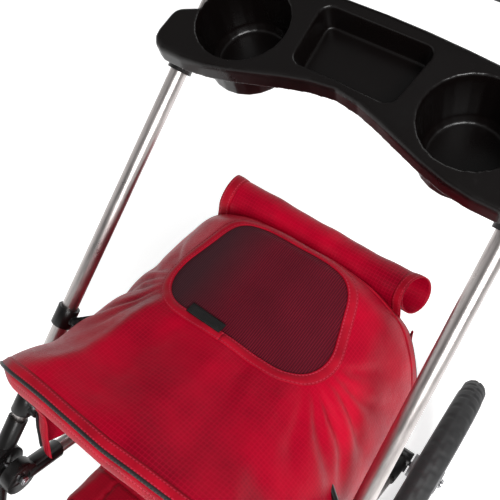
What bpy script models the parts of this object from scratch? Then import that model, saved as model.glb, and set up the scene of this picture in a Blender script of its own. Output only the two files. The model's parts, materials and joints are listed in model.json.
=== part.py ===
"""Three-wheeled jogging stroller, modelled in metres: +Z up, front towards -Y, standing on z = 0.

The frame is a pair of straight sloping tubes from the handle to two side hubs, two front tubes that
close in on the front wheel, and a rear frame that folds forwards about the hubs. A sling seat hangs
between the tubes, and a hood with a mesh window spans from a rear bow to a folding front bow.
"""

import math

import bmesh
import bpy
from mathutils import Matrix, Vector

# Driving dimensions
TUBE_R = 0.0111
TUBE_WALL = 0.0014
FIT = 0.0003  # gap left between pieces that touch
WHEEL_R = 0.203
TYRE_HALF_W = 0.022
WHEEL_STEPS = 32
HUB_HALF_W = 0.030
AXLE_R = 0.0050
SPOKES = 10

FRONT_AXLE = Vector((0.0, -0.405, WHEEL_R))
REAR_AXLE = Vector((0.0, 0.405, WHEEL_R))
REAR_WHEEL_X = 0.277

# The main tubes: a reference point near the tray, then t metres down the slope
MAIN_REF = Vector((0.2165, 0.425, 0.990))
MAIN_SLOPE = math.radians(44.4)
MAIN_SPREAD = 0.0326  # each tube moves outwards this much per metre of t
TOP_T = -0.060
CANOPY_T = 0.450
BOW_T = 0.600
HUB_T = 0.700

HUB_R = 0.030
HUB_HALF_W_X = 0.016
LEG_HEAD_X = 0.1985
LEG_HEAD_HALF_W = 0.0095
LEG_FOOT_X = 0.228
SOCKET_R = 0.0145

TRAY_TILT = math.radians(17.9)
TRAY_CENTRE = Vector((0.0, 0.399, 1.019))
TRAY_SKIRT = 0.026
TRAY_WALL = 0.003
CUP_X = 0.143
CUP_R = 0.0545
CUP_DEPTH = 0.0765

SEAT_W = 0.330
SEAT_BACK = Vector((0.0, 0.205, 0.372))  # the crease, where the backrest hinges
BACK_ANGLE = math.radians(63.8)
BACK_LENGTH = 0.335


def clear_scene():
    for obj in list(bpy.data.objects):
        bpy.data.objects.remove(obj)


clear_scene()
STROLLER = bpy.data.collections.new("jogging_stroller")
CUTTERS = bpy.data.collections.new("cutters")
bpy.context.scene.collection.children.link(STROLLER)
bpy.context.scene.collection.children.link(CUTTERS)


def material(name, colour, roughness, metallic=0.0):
    made = bpy.data.materials.new(name)
    made.use_nodes = True
    shader = made.node_tree.nodes["Principled BSDF"]
    shader.inputs["Base Color"].default_value = (*colour, 1.0)
    shader.inputs["Roughness"].default_value = roughness
    shader.inputs["Metallic"].default_value = metallic
    return made


ALUMINIUM = material("satin_aluminium", (0.62, 0.59, 0.58), 0.32, 1.0)
STEEL = material("zinc_steel", (0.55, 0.55, 0.56), 0.35, 1.0)
PLASTIC = material("black_plastic", (0.022, 0.019, 0.019), 0.38)
FOAM = material("black_foam", (0.03, 0.03, 0.03), 0.9)
RUBBER = material("black_rubber", (0.03, 0.03, 0.032), 0.8)
RED_CLOTH = material("red_cloth", (0.50, 0.004, 0.020), 0.75)
MESH_CLOTH = material("mesh_cloth", (0.055, 0.008, 0.012), 0.8)
BLACK_CLOTH = material("black_cloth", (0.025, 0.025, 0.027), 0.85)
RIM_PLASTIC = material("grey_rim_plastic", (0.32, 0.32, 0.33), 0.45)


# --- shape helpers ---------------------------------------------------------------------------------


def placed(obj, collection):
    """Moves an object that a primitive operator made into one of the two collections."""
    for home in list(obj.users_collection):
        home.objects.unlink(obj)
    collection.objects.link(obj)
    return obj


def finished(obj, mat):
    """A piece of the stroller: in its collection, with its material, round faces shaded smooth."""
    placed(obj, STROLLER)
    obj.data.materials.clear()
    obj.data.materials.append(mat)
    if obj.type == "MESH":
        obj.data.shade_smooth()
        obj.data.set_sharp_from_angle(angle=math.radians(35))
    return obj


def as_cutter(obj):
    placed(obj, CUTTERS)
    obj.hide_render = True
    obj.display_type = "WIRE"
    return obj


def along(direction):
    """Rotation that turns local +Z onto a direction."""
    return Vector(direction).to_track_quat("Z", "Y").to_matrix().to_4x4()


def rod(name, start, end, radius, sides=16):
    """A solid cylinder between two points."""
    start, end = Vector(start), Vector(end)
    bpy.ops.mesh.primitive_cylinder_add(vertices=sides, radius=radius, depth=(end - start).length)
    obj = bpy.context.object
    obj.name = name
    obj.matrix_world = Matrix.Translation((start + end) / 2) @ along(end - start)
    return obj


def block(name, centre, size, rotation=None, bevel=0.0, segments=2):
    """A box, with its edges rounded when a bevel is given."""
    bpy.ops.mesh.primitive_cube_add(size=1.0)
    obj = bpy.context.object
    obj.name = name
    obj.data.transform(Matrix.Diagonal((*size, 1.0)))
    obj.matrix_world = Matrix.Translation(centre) @ (rotation or Matrix.Identity(4))
    if bevel:
        edge = obj.modifiers.new("rounded_edges", "BEVEL")
        edge.width = bevel
        edge.segments = segments
    return obj


def turned(name, profile, centre, axis, steps, closed=True):
    """A profile of (radius, along) points turned a full circle about an axis through a centre."""
    mesh = bpy.data.meshes.new(name)
    points = [(radius, 0.0, offset) for radius, offset in profile]
    edges = [(i, i + 1) for i in range(len(points) - 1)]
    if closed:
        edges.append((len(points) - 1, 0))
    mesh.from_pydata(points, edges, [])
    obj = bpy.data.objects.new(name, mesh)
    placed(obj, STROLLER)
    screw = obj.modifiers.new("turn", "SCREW")
    screw.steps = screw.render_steps = steps
    screw.use_merge_vertices = True
    screw.merge_threshold = 0.00005
    screw.use_smooth_shade = True
    obj.matrix_world = Matrix.Translation(centre) @ along(axis)
    return obj


def hollow_tube(name, start, end, outer, wall, sides=20):
    """A straight tube, open at both ends."""
    start, end = Vector(start), Vector(end)
    length = (end - start).length
    profile = [(outer, length), (outer, 0.0), (outer - wall, 0.0), (outer - wall, length)]
    return turned(name, profile, start, end - start, sides)


def bent_rod(name, points, radius, resolution=3):
    """A round bar along a chain of points, as a mesh with welded caps."""
    curve = bpy.data.curves.new(name + "_path", "CURVE")
    curve.dimensions = "3D"
    curve.bevel_depth = radius
    curve.bevel_resolution = resolution
    curve.use_fill_caps = True
    spline = curve.splines.new("POLY")
    spline.points.add(len(points) - 1)
    for spot, point in zip(spline.points, points):
        spot.co = (*point, 1.0)
    guide = bpy.data.objects.new(name + "_path", curve)
    CUTTERS.objects.link(guide)
    return meshed(guide, name)


def meshed(source, name):
    """The evaluated shape of an object as a new mesh object. The source is removed."""
    bpy.context.view_layer.update()
    graph = bpy.context.evaluated_depsgraph_get()
    mesh = bpy.data.meshes.new_from_object(source.evaluated_get(graph))
    shape = bmesh.new()
    shape.from_mesh(mesh)
    bmesh.ops.remove_doubles(shape, verts=shape.verts, dist=0.00001)
    bmesh.ops.recalc_face_normals(shape, faces=shape.faces)
    shape.to_mesh(mesh)
    shape.free()
    mesh.name = name
    obj = bpy.data.objects.new(name, mesh)
    STROLLER.objects.link(obj)
    obj.matrix_world = source.matrix_world.copy()
    bpy.data.objects.remove(source)
    return obj


def plate(name, outline, half_thickness, frame):
    """A flat outline, given in the local XY plane of a frame, thickened along local Z."""
    curve = bpy.data.curves.new(name + "_outline", "CURVE")
    curve.dimensions = "2D"
    curve.fill_mode = "BOTH"
    curve.extrude = half_thickness
    spline = curve.splines.new("POLY")
    spline.use_cyclic_u = True
    spline.points.add(len(outline) - 1)
    for spot, (x, y) in zip(spline.points, outline):
        spot.co = (x, y, 0.0, 1.0)
    guide = bpy.data.objects.new(name + "_outline", curve)
    CUTTERS.objects.link(guide)
    guide.matrix_world = frame
    return meshed(guide, name)


def combine(obj, other, operation="UNION"):
    """Joins another shape to an object, or cuts it away, and keeps the other shape as a helper."""
    as_cutter(other)
    boolean = obj.modifiers.new(operation.lower() + "_" + other.name, "BOOLEAN")
    boolean.operation = operation
    boolean.object = other
    return obj


def cut(obj, *others):
    for other in others:
        combine(obj, other, "DIFFERENCE")
    return obj


def join(obj, *others):
    for other in others:
        combine(obj, other, "UNION")
    return obj


def arc(centre, radius, start, end, count):
    """Points on a circular arc in a plane, from one angle to another, in degrees."""
    steps = [math.radians(start + (end - start) * i / (count - 1)) for i in range(count)]
    return [(centre[0] + radius * math.cos(a), centre[1] + radius * math.sin(a)) for a in steps]


def main_point(side, t):
    """The point t metres down the main tube of a side, which is -1 for right and +1 for left."""
    return Vector((
        side * (MAIN_REF.x + MAIN_SPREAD * t),
        MAIN_REF.y - t * math.cos(MAIN_SLOPE),
        MAIN_REF.z - t * math.sin(MAIN_SLOPE),
    ))


def between(start, end, distance):
    """The point this far from start on the way to end."""
    start, end = Vector(start), Vector(end)
    return start + (end - start).normalized() * distance


SIDES = (("left", 1), ("right", -1))
X_AXIS = Vector((1, 0, 0))


# --- frame ----------------------------------------------------------------------------------------


FORK_X = 0.0435  # where the front tube's line meets the front axle
FORK_TIP_X = 0.0650  # the outer face of each fork tip


def front_line(side):
    return main_point(side, HUB_T), Vector((side * FORK_X, FRONT_AXLE.y, FRONT_AXLE.z))


def leg_line(side):
    hub = main_point(side, HUB_T)
    head = Vector((side * LEG_HEAD_X, hub.y, hub.z))
    return head, Vector((side * LEG_FOOT_X, REAR_AXLE.y, REAR_AXLE.z))


def main_tubes():
    for word, side in SIDES:
        tube = hollow_tube(
            "upper_tube_" + word, main_point(side, 0.670), main_point(side, TOP_T), TUBE_R, TUBE_WALL
        )
        finished(tube, ALUMINIUM)
        hub, tip = front_line(side)
        tube = hollow_tube(
            "front_tube_" + word, between(hub, tip, 0.032), between(tip, hub, 0.024), TUBE_R, TUBE_WALL
        )
        finished(tube, ALUMINIUM)


def side_hubs():
    """Moulded hub at each side: sockets for the upper and front tubes, and a boss for the rear leg."""
    for word, side in SIDES:
        hub, tip = front_line(side)
        inner = hub - X_AXIS * side * HUB_HALF_W_X
        outer = hub + X_AXIS * side * HUB_HALF_W_X
        body = rod("side_hub_" + word, inner, outer, HUB_R, 24)
        join(
            body,
            rod("hub_upper_socket_" + word, main_point(side, 0.625), hub, SOCKET_R),
            rod("hub_front_socket_" + word, hub, between(hub, tip, 0.075), SOCKET_R),
        )
        knob = hub + knob_offset()
        cut(
            body,
            rod("hub_upper_bore_" + word, main_point(side, 0.600), main_point(side, 0.6705), TUBE_R + FIT),
            rod("hub_front_bore_" + word, between(hub, tip, 0.0315), between(hub, tip, 0.100), TUBE_R + FIT),
            rod("hub_pivot_bore_" + word, inner - X_AXIS * side * 0.01, outer + X_AXIS * side * 0.01, 0.0044),
            rod("hub_knob_bore_" + word, knob, knob + X_AXIS * side * 0.04, 0.0036, 16),
        )
        finished(body, PLASTIC)
        outside = X_AXIS * side * (HUB_HALF_W_X + FIT)
        inside = X_AXIS * side * (hub.x * side - LEG_HEAD_X + LEG_HEAD_HALF_W + FIT)
        bolt = rod("pivot_bolt_" + word, hub - inside - X_AXIS * side * 0.0070, hub + outside * 1.2, 0.0040)
        join(
            bolt,
            rod("bolt_head_" + word, hub + outside, hub + outside + X_AXIS * side * 0.006, 0.0085, 6),
            rod("bolt_nut_" + word, hub - inside, hub - inside - X_AXIS * side * 0.0055, 0.0075, 6),
        )
        finished(bolt, STEEL)


def knob_offset():
    """Where the fold release sits on a hub's face, relative to the pivot."""
    return Vector((0.0, 0.0, 0.0185))


def fold_knobs():
    """Pull knob on each hub that frees the rear leg. It slides outwards."""
    for word, side in SIDES:
        hub = main_point(side, HUB_T) + knob_offset()
        face = hub + X_AXIS * side * (HUB_HALF_W_X + 0.0006)
        profile = [
            (0.0, 0.0115), (0.0065, 0.0115), (0.0085, 0.0095), (0.0075, 0.0045), (0.0085, 0.0),
            (0.0032, 0.0), (0.0032, -0.0140), (0.0, -0.0140),
        ]
        knob = turned("fold_knob_" + word, profile, face, X_AXIS * side, 20, closed=False)
        finished(knob, PLASTIC)


def handle():
    """The handle bar, which bends across from tube to tube, with its foam grip and two collars."""
    corner = 0.050
    rise = 0.140
    top = main_point(1, -rise)
    up = (main_point(1, -1.0) - main_point(1, 0.0)).normalized()
    up.x = 0.0
    up.normalize()
    centre = Vector((0.0, top.y, top.z)) - up * corner
    start_x = main_point(1, -rise + corner).x
    path = [main_point(1, TOP_T - FIT)]
    for x, height in arc((start_x - corner, 0.0), corner, 0, 90, 7):
        path.append(centre + X_AXIS * x + up * height)
    mirrored = [Vector((-p.x, p.y, p.z)) for p in reversed(path)]
    finished(bent_rod("handle_bar", path + mirrored, TUBE_R, 3), ALUMINIUM)

    grip_half = start_x - corner - 0.004
    profile = [
        (0.0155, grip_half), (0.0180, grip_half - 0.004), (0.0180, -grip_half + 0.004),
        (0.0155, -grip_half), (TUBE_R + FIT * 2, -grip_half), (TUBE_R + FIT * 2, grip_half),
    ]
    grip = turned("handle_grip", profile, Vector((0.0, top.y, top.z)), X_AXIS, 24)
    finished(grip, FOAM)

    for word, side in SIDES:
        low, high = main_point(side, TOP_T + 0.022), main_point(side, TOP_T - 0.022)
        length = (high - low).length
        radius = TUBE_R + FIT * 2
        profile = [
            (0.0135, length), (0.0160, length - 0.005), (0.0160, 0.005), (0.0135, 0.0),
            (radius, 0.0), (radius, length),
        ]
        finished(turned("handle_collar_" + word, profile, low, high - low, 24), PLASTIC)


def front_fork():
    """Fork tips, the quick-release axle and its lever."""
    for word, side in SIDES:
        hub, tip = front_line(side)
        inner = Vector((side * (HUB_HALF_W + 0.0015), tip.y, tip.z))
        outer = Vector((side * FORK_TIP_X, tip.y, tip.z))
        body = rod("fork_tip_" + word, inner, outer, 0.0175)
        join(body, rod("fork_tip_socket_" + word, tip, between(tip, hub, 0.062), SOCKET_R))
        cut(
            body,
            rod("fork_tip_bore_" + word, between(tip, hub, 0.0235), between(tip, hub, 0.090), TUBE_R + FIT),
            rod("fork_axle_bore_" + word, inner - X_AXIS * side * 0.01, outer + X_AXIS * side * 0.01,
                AXLE_R + 0.0004),
        )
        finished(body, PLASTIC)
    face = X_AXIS * (FORK_TIP_X + FIT)
    axle = rod("front_axle", FRONT_AXLE - face - X_AXIS * 0.0080, FRONT_AXLE + face - X_AXIS * FIT, AXLE_R)
    join(axle, rod("axle_end_nut", FRONT_AXLE - face, FRONT_AXLE - face - X_AXIS * 0.0090, 0.0095, 6))
    finished(axle, STEEL)

    pivot = FRONT_AXLE + face + X_AXIS * 0.0083
    slope = Matrix.Rotation(math.radians(-30), 4, "X")
    half = slope @ Vector((0, 0, 0.0075))
    cam = rod("quick_release_lever", pivot - half, pivot + half, 0.0080)
    arm = block("quick_release_arm", pivot + slope @ Vector((0.0025, 0.034, 0)), (0.0055, 0.062, 0.012),
                slope, 0.002)
    join(cam, arm)
    finished(cam, STEEL)


def footrest():
    """A foot plate between two drop struts that clamp round the front tubes."""
    plate_centre = Vector((0.0, -0.120, 0.250))
    tilt = Matrix.Rotation(math.radians(-14), 4, "X")
    finished(block("footrest_plate", plate_centre, (0.258, 0.115, 0.006), tilt, 0.0025), PLASTIC)
    for word, side in SIDES:
        hub, tip = front_line(side)
        clamp = between(hub, tip, 0.120)
        direction = (tip - hub).normalized()
        ring = rod("footrest_strut_" + word, clamp - direction * 0.011, clamp + direction * 0.011, 0.0150)
        foot = Vector((side * 0.1365, -0.125, 0.249))
        join(
            ring,
            rod("strut_rod_" + word, clamp + Vector((0, 0, -0.012)), foot + Vector((0, 0, 0.002)), 0.0055, 12),
            block("strut_foot_" + word, foot, (0.013, 0.080, 0.010), tilt),
        )
        cut(ring, rod("strut_bore_" + word, clamp - direction * 0.03, clamp + direction * 0.03, TUBE_R + FIT))
        finished(ring, PLASTIC)


# --- rear frame -----------------------------------------------------------------------------------


def rear_frame():
    """Two legs that hang from the hubs, the axle tube between them, and a stub axle for each wheel."""
    for word, side in SIDES:
        head, foot = leg_line(side)
        reach = X_AXIS * LEG_HEAD_HALF_W
        body = rod("leg_head_" + word, head - reach, head + reach, 0.0260, 20)
        join(body, rod("leg_head_socket_" + word, between(head, foot, 0.010), between(head, foot, 0.078), SOCKET_R))
        cut(
            body,
            rod("leg_head_bore_" + word, between(head, foot, 0.0295), between(head, foot, 0.10), TUBE_R + FIT),
            rod("leg_pivot_bore_" + word, head - X_AXIS * 0.03, head + X_AXIS * 0.03, 0.0044),
        )
        finished(body, PLASTIC)
        leg = hollow_tube(
            "rear_leg_" + word, between(head, foot, 0.030), between(foot, head, 0.030), TUBE_R, TUBE_WALL
        )
        finished(leg, ALUMINIUM)

        inner = Vector((side * 0.2120, REAR_AXLE.y, REAR_AXLE.z))
        outer = Vector((side * 0.2440, REAR_AXLE.y, REAR_AXLE.z))
        bracket = rod("axle_bracket_" + word, inner, outer, 0.0210, 20)
        join(bracket, rod("bracket_socket_" + word, foot, between(foot, head, 0.075), SOCKET_R))
        cut(
            bracket,
            rod("bracket_leg_bore_" + word, between(foot, head, 0.0295), between(foot, head, 0.10), TUBE_R + FIT),
            rod("bracket_tube_bore_" + word, inner - X_AXIS * side * 0.01, inner + X_AXIS * side * 0.0145,
                TUBE_R + FIT),
            rod("bracket_pin_bore_" + word, inner, outer + X_AXIS * side * 0.01, AXLE_R + 0.0004),
        )
        finished(bracket, PLASTIC)
        pin = rod(
            "rear_axle_pin_" + word,
            Vector((side * 0.2270, REAR_AXLE.y, REAR_AXLE.z)),
            Vector((side * 0.3120, REAR_AXLE.y, REAR_AXLE.z)),
            AXLE_R,
        )
        cap = Vector((side * 0.3085, REAR_AXLE.y, REAR_AXLE.z))
        join(pin, rod("pin_button_" + word, cap, cap + X_AXIS * side * 0.0045, 0.0095))
        finished(pin, STEEL)
    reach = X_AXIS * 0.2260
    finished(hollow_tube("rear_axle_tube", REAR_AXLE - reach, REAR_AXLE + reach, TUBE_R, TUBE_WALL), ALUMINIUM)


def parking_brake():
    """Foot pedal that turns on the axle tube, with the bar it carries to both wheels."""
    pedal = rod("brake_pedal", REAR_AXLE - X_AXIS * 0.030, REAR_AXLE + X_AXIS * 0.030, 0.0180)
    join(
        pedal,
        block("pedal_tread", REAR_AXLE + Vector((0, 0.044, 0.004)), (0.076, 0.056, 0.010), None, 0.003),
        rod("pedal_lobe", REAR_AXLE + Vector((-0.030, -0.021, 0.0)), REAR_AXLE + Vector((0.030, -0.021, 0.0)),
            0.0095),
    )
    bar_at = REAR_AXLE + Vector((0, -0.0225, 0.0))
    cut(
        pedal,
        rod("pedal_bore", REAR_AXLE - X_AXIS * 0.05, REAR_AXLE + X_AXIS * 0.05, TUBE_R + 0.0006),
        rod("pedal_bar_bore", bar_at - X_AXIS * 0.05, bar_at + X_AXIS * 0.05, 0.0040 + FIT),
    )
    finished(pedal, PLASTIC)
    finished(rod("brake_bar", bar_at - X_AXIS * 0.2100, bar_at + X_AXIS * 0.2100, 0.0040, 16), STEEL)


# --- wheels ---------------------------------------------------------------------------------------


def tyre_profile():
    """Half of the tyre's outline from crown to bead, mirrored to the other side."""
    half = [(0.2030, 0.0060), (0.1975, 0.0155), (0.1850, TYRE_HALF_W), (0.1740, 0.0195), (0.1665, 0.0140)]
    return [(r, x) for r, x in half] + [(r, -x) for r, x in reversed(half)]


def rim_shape():
    """One moulded wheel: rim channel, tapered spokes and hub barrel in a single piece."""
    half = [(0.1655, 0.0150), (0.1715, 0.0205), (0.1700, 0.0235), (0.1600, 0.0225), (0.1525, 0.0130)]
    profile = half + [(r, -x) for r, x in reversed(half)]
    ring = turned("rim_ring", [(r, -x) for r, x in profile], (0, 0, 0), X_AXIS, WHEEL_STEPS)
    barrel = rod("rim_barrel", (-HUB_HALF_W, 0, 0), (HUB_HALF_W, 0, 0), 0.0240, 20)
    inner, outer = 0.0215, 0.1545
    for index in range(SPOKES):
        spoke = block(f"rim_spoke_{index}", (0, 0, 0), (0.020, 0.0115, outer - inner))
        for vertex in spoke.data.vertices:
            if vertex.co.z > 0:
                vertex.co.x *= 0.70
                vertex.co.y *= 0.80
        turn = Matrix.Rotation(2 * math.pi * index / SPOKES, 4, "X")
        spoke.matrix_world = turn @ Matrix.Translation((0, 0, (inner + outer) / 2))
        join(barrel, spoke)
    join(ring, barrel)
    cut(ring, rod("rim_bore", (-0.05, 0, 0), (0.05, 0, 0), AXLE_R + 0.0004))
    return meshed(ring, "rim_shape")


def wheels():
    shape = rim_shape()
    mesh = shape.data
    mesh.transform(shape.matrix_world)
    bpy.data.objects.remove(shape)
    places = (
        ("front", FRONT_AXLE),
        ("rear_left", REAR_AXLE + X_AXIS * REAR_WHEEL_X),
        ("rear_right", REAR_AXLE - X_AXIS * REAR_WHEEL_X),
    )
    for word, centre in places:
        rim = bpy.data.objects.new(word + "_rim", mesh)
        rim.location = centre
        finished(rim, RIM_PLASTIC)
        profile = [(r, -x) for r, x in tyre_profile()]
        tyre = turned(word + "_tyre", profile, centre, X_AXIS, WHEEL_STEPS)
        finished(tyre, RUBBER)


# --- parent tray ----------------------------------------------------------------------------------


def tray_frame():
    return Matrix.Translation(TRAY_CENTRE) @ Matrix.Rotation(TRAY_TILT, 4, "X")


def front_edge(x):
    """How far the tray's front edge lies from the line of the cups, at a distance from the middle."""
    reach = min(abs(x) / 0.185, 1.0)
    return -0.031 - 0.046 * (reach * reach * (3 - 2 * reach)) ** 0.9


def tray_outline(inset=0.0):
    """Plan outline: concave in front, wide front corners over the tubes, narrower behind them."""
    half = [(x, front_edge(x) + inset) for x in (0.0, 0.030, 0.060, 0.090, 0.120, 0.150, 0.180)]
    half += arc((0.206, -0.055), 0.022 - inset, -80, 0, 4)
    half += arc((0.213, -0.030), 0.015 - inset, 0, 60, 3)
    half += [(0.2005 - inset, -0.008), (0.1995 - inset, 0.020)]
    half += arc((0.150, 0.022), 0.0500 - inset, 10, 80, 5)
    half += [(0.100, 0.0760 - inset), (0.050, 0.0790 - inset), (0.0, 0.0800 - inset)]
    return half + [(-x, y) for x, y in reversed(half) if x > 0]


def recess_outline(inset=0.0):
    """The shallow compartment between the cups, wider at the back."""
    half = [(0.0, -0.0200 + inset), (0.030, -0.0205 + inset)]
    half += arc((0.050, -0.0090), 0.0120 - inset, -80, 0, 4)
    half += arc((0.056, 0.0480), 0.0120 - inset, 0, 90, 4)
    half += [(0.0, 0.0600 - inset)]
    return half + [(-x, y) for x, y in reversed(half) if x > 0]


def lofted(name, rings, frame):
    """A closed solid whose skin runs through rings of equally many points, capped at both ends."""
    shape = bmesh.new()
    loops = [[shape.verts.new(point) for point in ring] for ring in rings]
    for low, high in zip(loops, loops[1:]):
        for i in range(len(low)):
            j = (i + 1) % len(low)
            shape.faces.new((low[i], low[j], high[j], high[i]))
    shape.faces.new(loops[0])
    shape.faces.new(loops[-1])
    bmesh.ops.recalc_face_normals(shape, faces=shape.faces)
    mesh = bpy.data.meshes.new(name)
    shape.to_mesh(mesh)
    shape.free()
    obj = bpy.data.objects.new(name, mesh)
    placed(obj, STROLLER)
    obj.matrix_world = frame
    return obj


def parent_tray():
    """A moulded tray: thin top and skirt, two cup wells and a compartment, in one piece."""
    frame = tray_frame()
    skin = (
        (0.0070, 0.0), (0.0030, -0.0010), (0.0008, -0.0035), (0.0, -0.0070), (0.0, -TRAY_SKIRT),
        (TRAY_WALL, -TRAY_SKIRT), (TRAY_WALL, -0.0080), (0.0080, -TRAY_WALL),
    )
    rings = [[(x, y, z) for x, y in tray_outline(inset)] for inset, z in skin]
    body = lofted("parent_tray", rings, frame)
    pan_depth = 0.034
    pan = [[(x, y, z) for x, y in recess_outline(-TRAY_WALL)] for z in (-0.0012, -pan_depth)]
    hole = [[(x, y, z) for x, y in recess_outline(inset)]
            for inset, z in ((-0.0040, 0.0040), (-0.0010, -0.0030), (0.0, -0.0080), (0.0030, TRAY_WALL - pan_depth))]
    wells = [lofted("tray_pan", pan, frame)]
    holes = [lofted("tray_pan_hole", hole, frame)]
    up = frame.to_3x3() @ Vector((0, 0, 1))
    for word, side in SIDES:
        centre = frame @ Vector((side * CUP_X, 0, 0))
        profile = [(0.0, -0.0012), (CUP_R + TRAY_WALL, -0.0012), (CUP_R + TRAY_WALL - 0.002, -CUP_DEPTH + 0.008),
                   (CUP_R - 0.006, -CUP_DEPTH), (0.0, -CUP_DEPTH)]
        wells.append(turned("cup_well_" + word, profile, centre, up, 24, closed=False))
        profile = [(0.0, 0.004), (CUP_R + 0.004, 0.004), (CUP_R + 0.001, -0.003), (CUP_R, -0.010),
                   (CUP_R - 0.004, -CUP_DEPTH + 0.012), (CUP_R - 0.010, -CUP_DEPTH + TRAY_WALL),
                   (0.0, -CUP_DEPTH + TRAY_WALL)]
        holes.append(turned("cup_hole_" + word, profile, centre, up, 24, closed=False))
    join(body, *wells)
    cut(body, *holes)
    finished(body, PLASTIC)


def tray_clamps():
    """A collar round each tube with a post that carries the tray's front corner."""
    frame = tray_frame()
    for word, side in SIDES:
        middle = main_point(side, 0.070)
        direction = (main_point(side, 1.0) - main_point(side, 0.0)).normalized()
        ring = rod("tray_clamp_" + word, middle - direction * 0.013, middle + direction * 0.013, 0.0158)
        under = frame @ Vector((middle.x - side * 0.006, -0.045, -TRAY_WALL - 0.0030))
        join(ring, rod("clamp_post_" + word, under, middle, 0.0085, 16))
        cut(ring, rod("clamp_bore_" + word, middle - direction * 0.08, middle + direction * 0.08, TUBE_R + FIT))
        finished(ring, PLASTIC)


# --- seat -----------------------------------------------------------------------------------------


SIDE_PANEL_X = 0.2025
SIDE_PANEL_OUTLINE = (
    (0.020, 0.490), (0.062, 0.570), (0.070, 0.620), (0.110, 0.650), (0.200, 0.690), (0.302, 0.700),
    (0.262, 0.500), (0.222, 0.405), (0.150, 0.410), (0.080, 0.450),
)


def back_frame():
    """Local X across, local Y up the backrest, local Z out of its front face."""
    return Matrix.Translation(SEAT_BACK) @ Matrix.Rotation(BACK_ANGLE, 4, "X")


def seat():
    tilt = Matrix.Rotation(math.radians(-7), 4, "X")
    finished(block("seat_base", Vector((0, 0.066, 0.384)), (SEAT_W, 0.262, 0.028), tilt, 0.010), RED_CLOTH)
    finished(block("leg_panel", Vector((0, -0.070, 0.328)), (0.270, 0.010, 0.120),
                   Matrix.Rotation(math.radians(-4), 4, "X"), 0.003), RED_CLOTH)
    frame = back_frame()
    middle = frame @ Vector((0, 0.022 + BACK_LENGTH / 2, 0.0150))
    rotation = frame.to_3x3().to_4x4()
    finished(block("backrest_pad", middle, (0.320, BACK_LENGTH, 0.026), rotation, 0.010), RED_CLOTH)
    for word, side in SIDES:
        upright = (
            Matrix.Translation((side * SIDE_PANEL_X, 0.0, 0.0))
            @ Matrix.Rotation(math.radians(90), 4, "Z")
            @ Matrix.Rotation(math.radians(90), 4, "X")
        )
        finished(plate("seat_side_" + word, SIDE_PANEL_OUTLINE, 0.0015, upright), RED_CLOTH)


def buckle():
    """Harness buckle on the seat, with its press button."""
    base = Vector((0, 0.075, 0.4135))
    housing = block("harness_buckle", base + Vector((0, 0, 0.013)), (0.046, 0.014, 0.040), None, 0.003)
    cut(housing, rod("buckle_bore", base + Vector((0, -0.004, 0.017)), base + Vector((0, -0.020, 0.017)), 0.0094))
    finished(housing, PLASTIC)
    button = rod("buckle_button", base + Vector((0, -0.0095, 0.017)), base + Vector((0, -0.0060, 0.017)), 0.0088)
    finished(button, RED_CLOTH)


def basket():
    """Open fabric basket slung under the seat."""
    centre = Vector((0, 0.110, 0.255))
    bpy.ops.mesh.primitive_cube_add(size=1.0)
    obj = bpy.context.object
    obj.name = "basket"
    shape = bmesh.new()
    shape.from_mesh(obj.data)
    bmesh.ops.delete(shape, geom=[f for f in shape.faces if f.normal.z > 0.9], context="FACES")
    for vertex in shape.verts:
        narrow = 0.86 if vertex.co.z < 0 else 1.0
        vertex.co = (vertex.co.x * 0.330 * narrow, vertex.co.y * 0.300 * narrow, vertex.co.z * 0.110)
    shape.to_mesh(obj.data)
    shape.free()
    obj.matrix_world = Matrix.Translation(centre)
    shell = obj.modifiers.new("cloth", "SOLIDIFY")
    shell.thickness = 0.003
    finished(obj, BLACK_CLOTH)


# --- canopy ---------------------------------------------------------------------------------------


BOW_R = 0.0040
BOW_INSET = 0.0215  # how far each bow's foot stands inboard of its tube's centre
CLOTH_GAP = 0.0085  # from a bow's centre line out to the middle of the cloth over it
HOOD_HALF_W = 0.2065
HOOD_SIDE_Z = 0.610  # where the hood's curve turns straight down
HOOD_REAR_Y = 0.366
REAR_BOW_TOP = (0.310, 0.786)  # y and z of the hood's crown over the rear bow

# Along the hood: distance y, height of the crown, and how square the section is, across and upwards
HOOD_STATIONS = (
    (0.100, 0.785, 3.2, 2.1),
    (0.175, 0.771, 2.6, 1.5),
    (0.250, 0.778, 2.6, 1.5),
    (0.318, 0.787, 2.9, 1.5),
    (0.345, 0.765, 4.0, 1.5),
    (0.366, 0.719, 5.0, 1.5),
)


def station(y):
    """Crown height and the two section powers at a distance y, between the hood's stations."""
    y = min(max(y, HOOD_STATIONS[0][0]), HOOD_STATIONS[-1][0])
    for low, high in zip(HOOD_STATIONS, HOOD_STATIONS[1:]):
        if y <= high[0]:
            share = (y - low[0]) / (high[0] - low[0])
            return [p + (q - p) * share for p, q in zip(low[1:], high[1:])]


def hood_section(y, turn, inset=0.0):
    """x and z of the fixed hood at y. turn runs from 0 at the crown to 1 at the side."""
    crown, across, upward = station(y)
    angle = math.radians(90) * turn
    x = (HOOD_HALF_W - inset) * math.sin(angle) ** (2 / across)
    z = HOOD_SIDE_Z + (crown - inset - HOOD_SIDE_Z) * math.cos(angle) ** (2 / upward)
    return x, z


def on_plane(turn, start, slope, inset=0.0):
    """Where the hood's section meets the plane y = start.y + slope * (z - start.z)."""
    y = start[0]
    for _ in range(16):
        x, z = hood_section(y, turn, inset)
        y = start[0] + slope * (z - start[1])
    return Vector((x, y, z))


def bow_foot(t):
    foot = main_point(1, t)
    foot.x -= BOW_INSET
    return foot


FOLD_HALF_W = 0.1950
FOLD_HEIGHT = 0.2370
FOLD_POWER = 3.4


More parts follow.
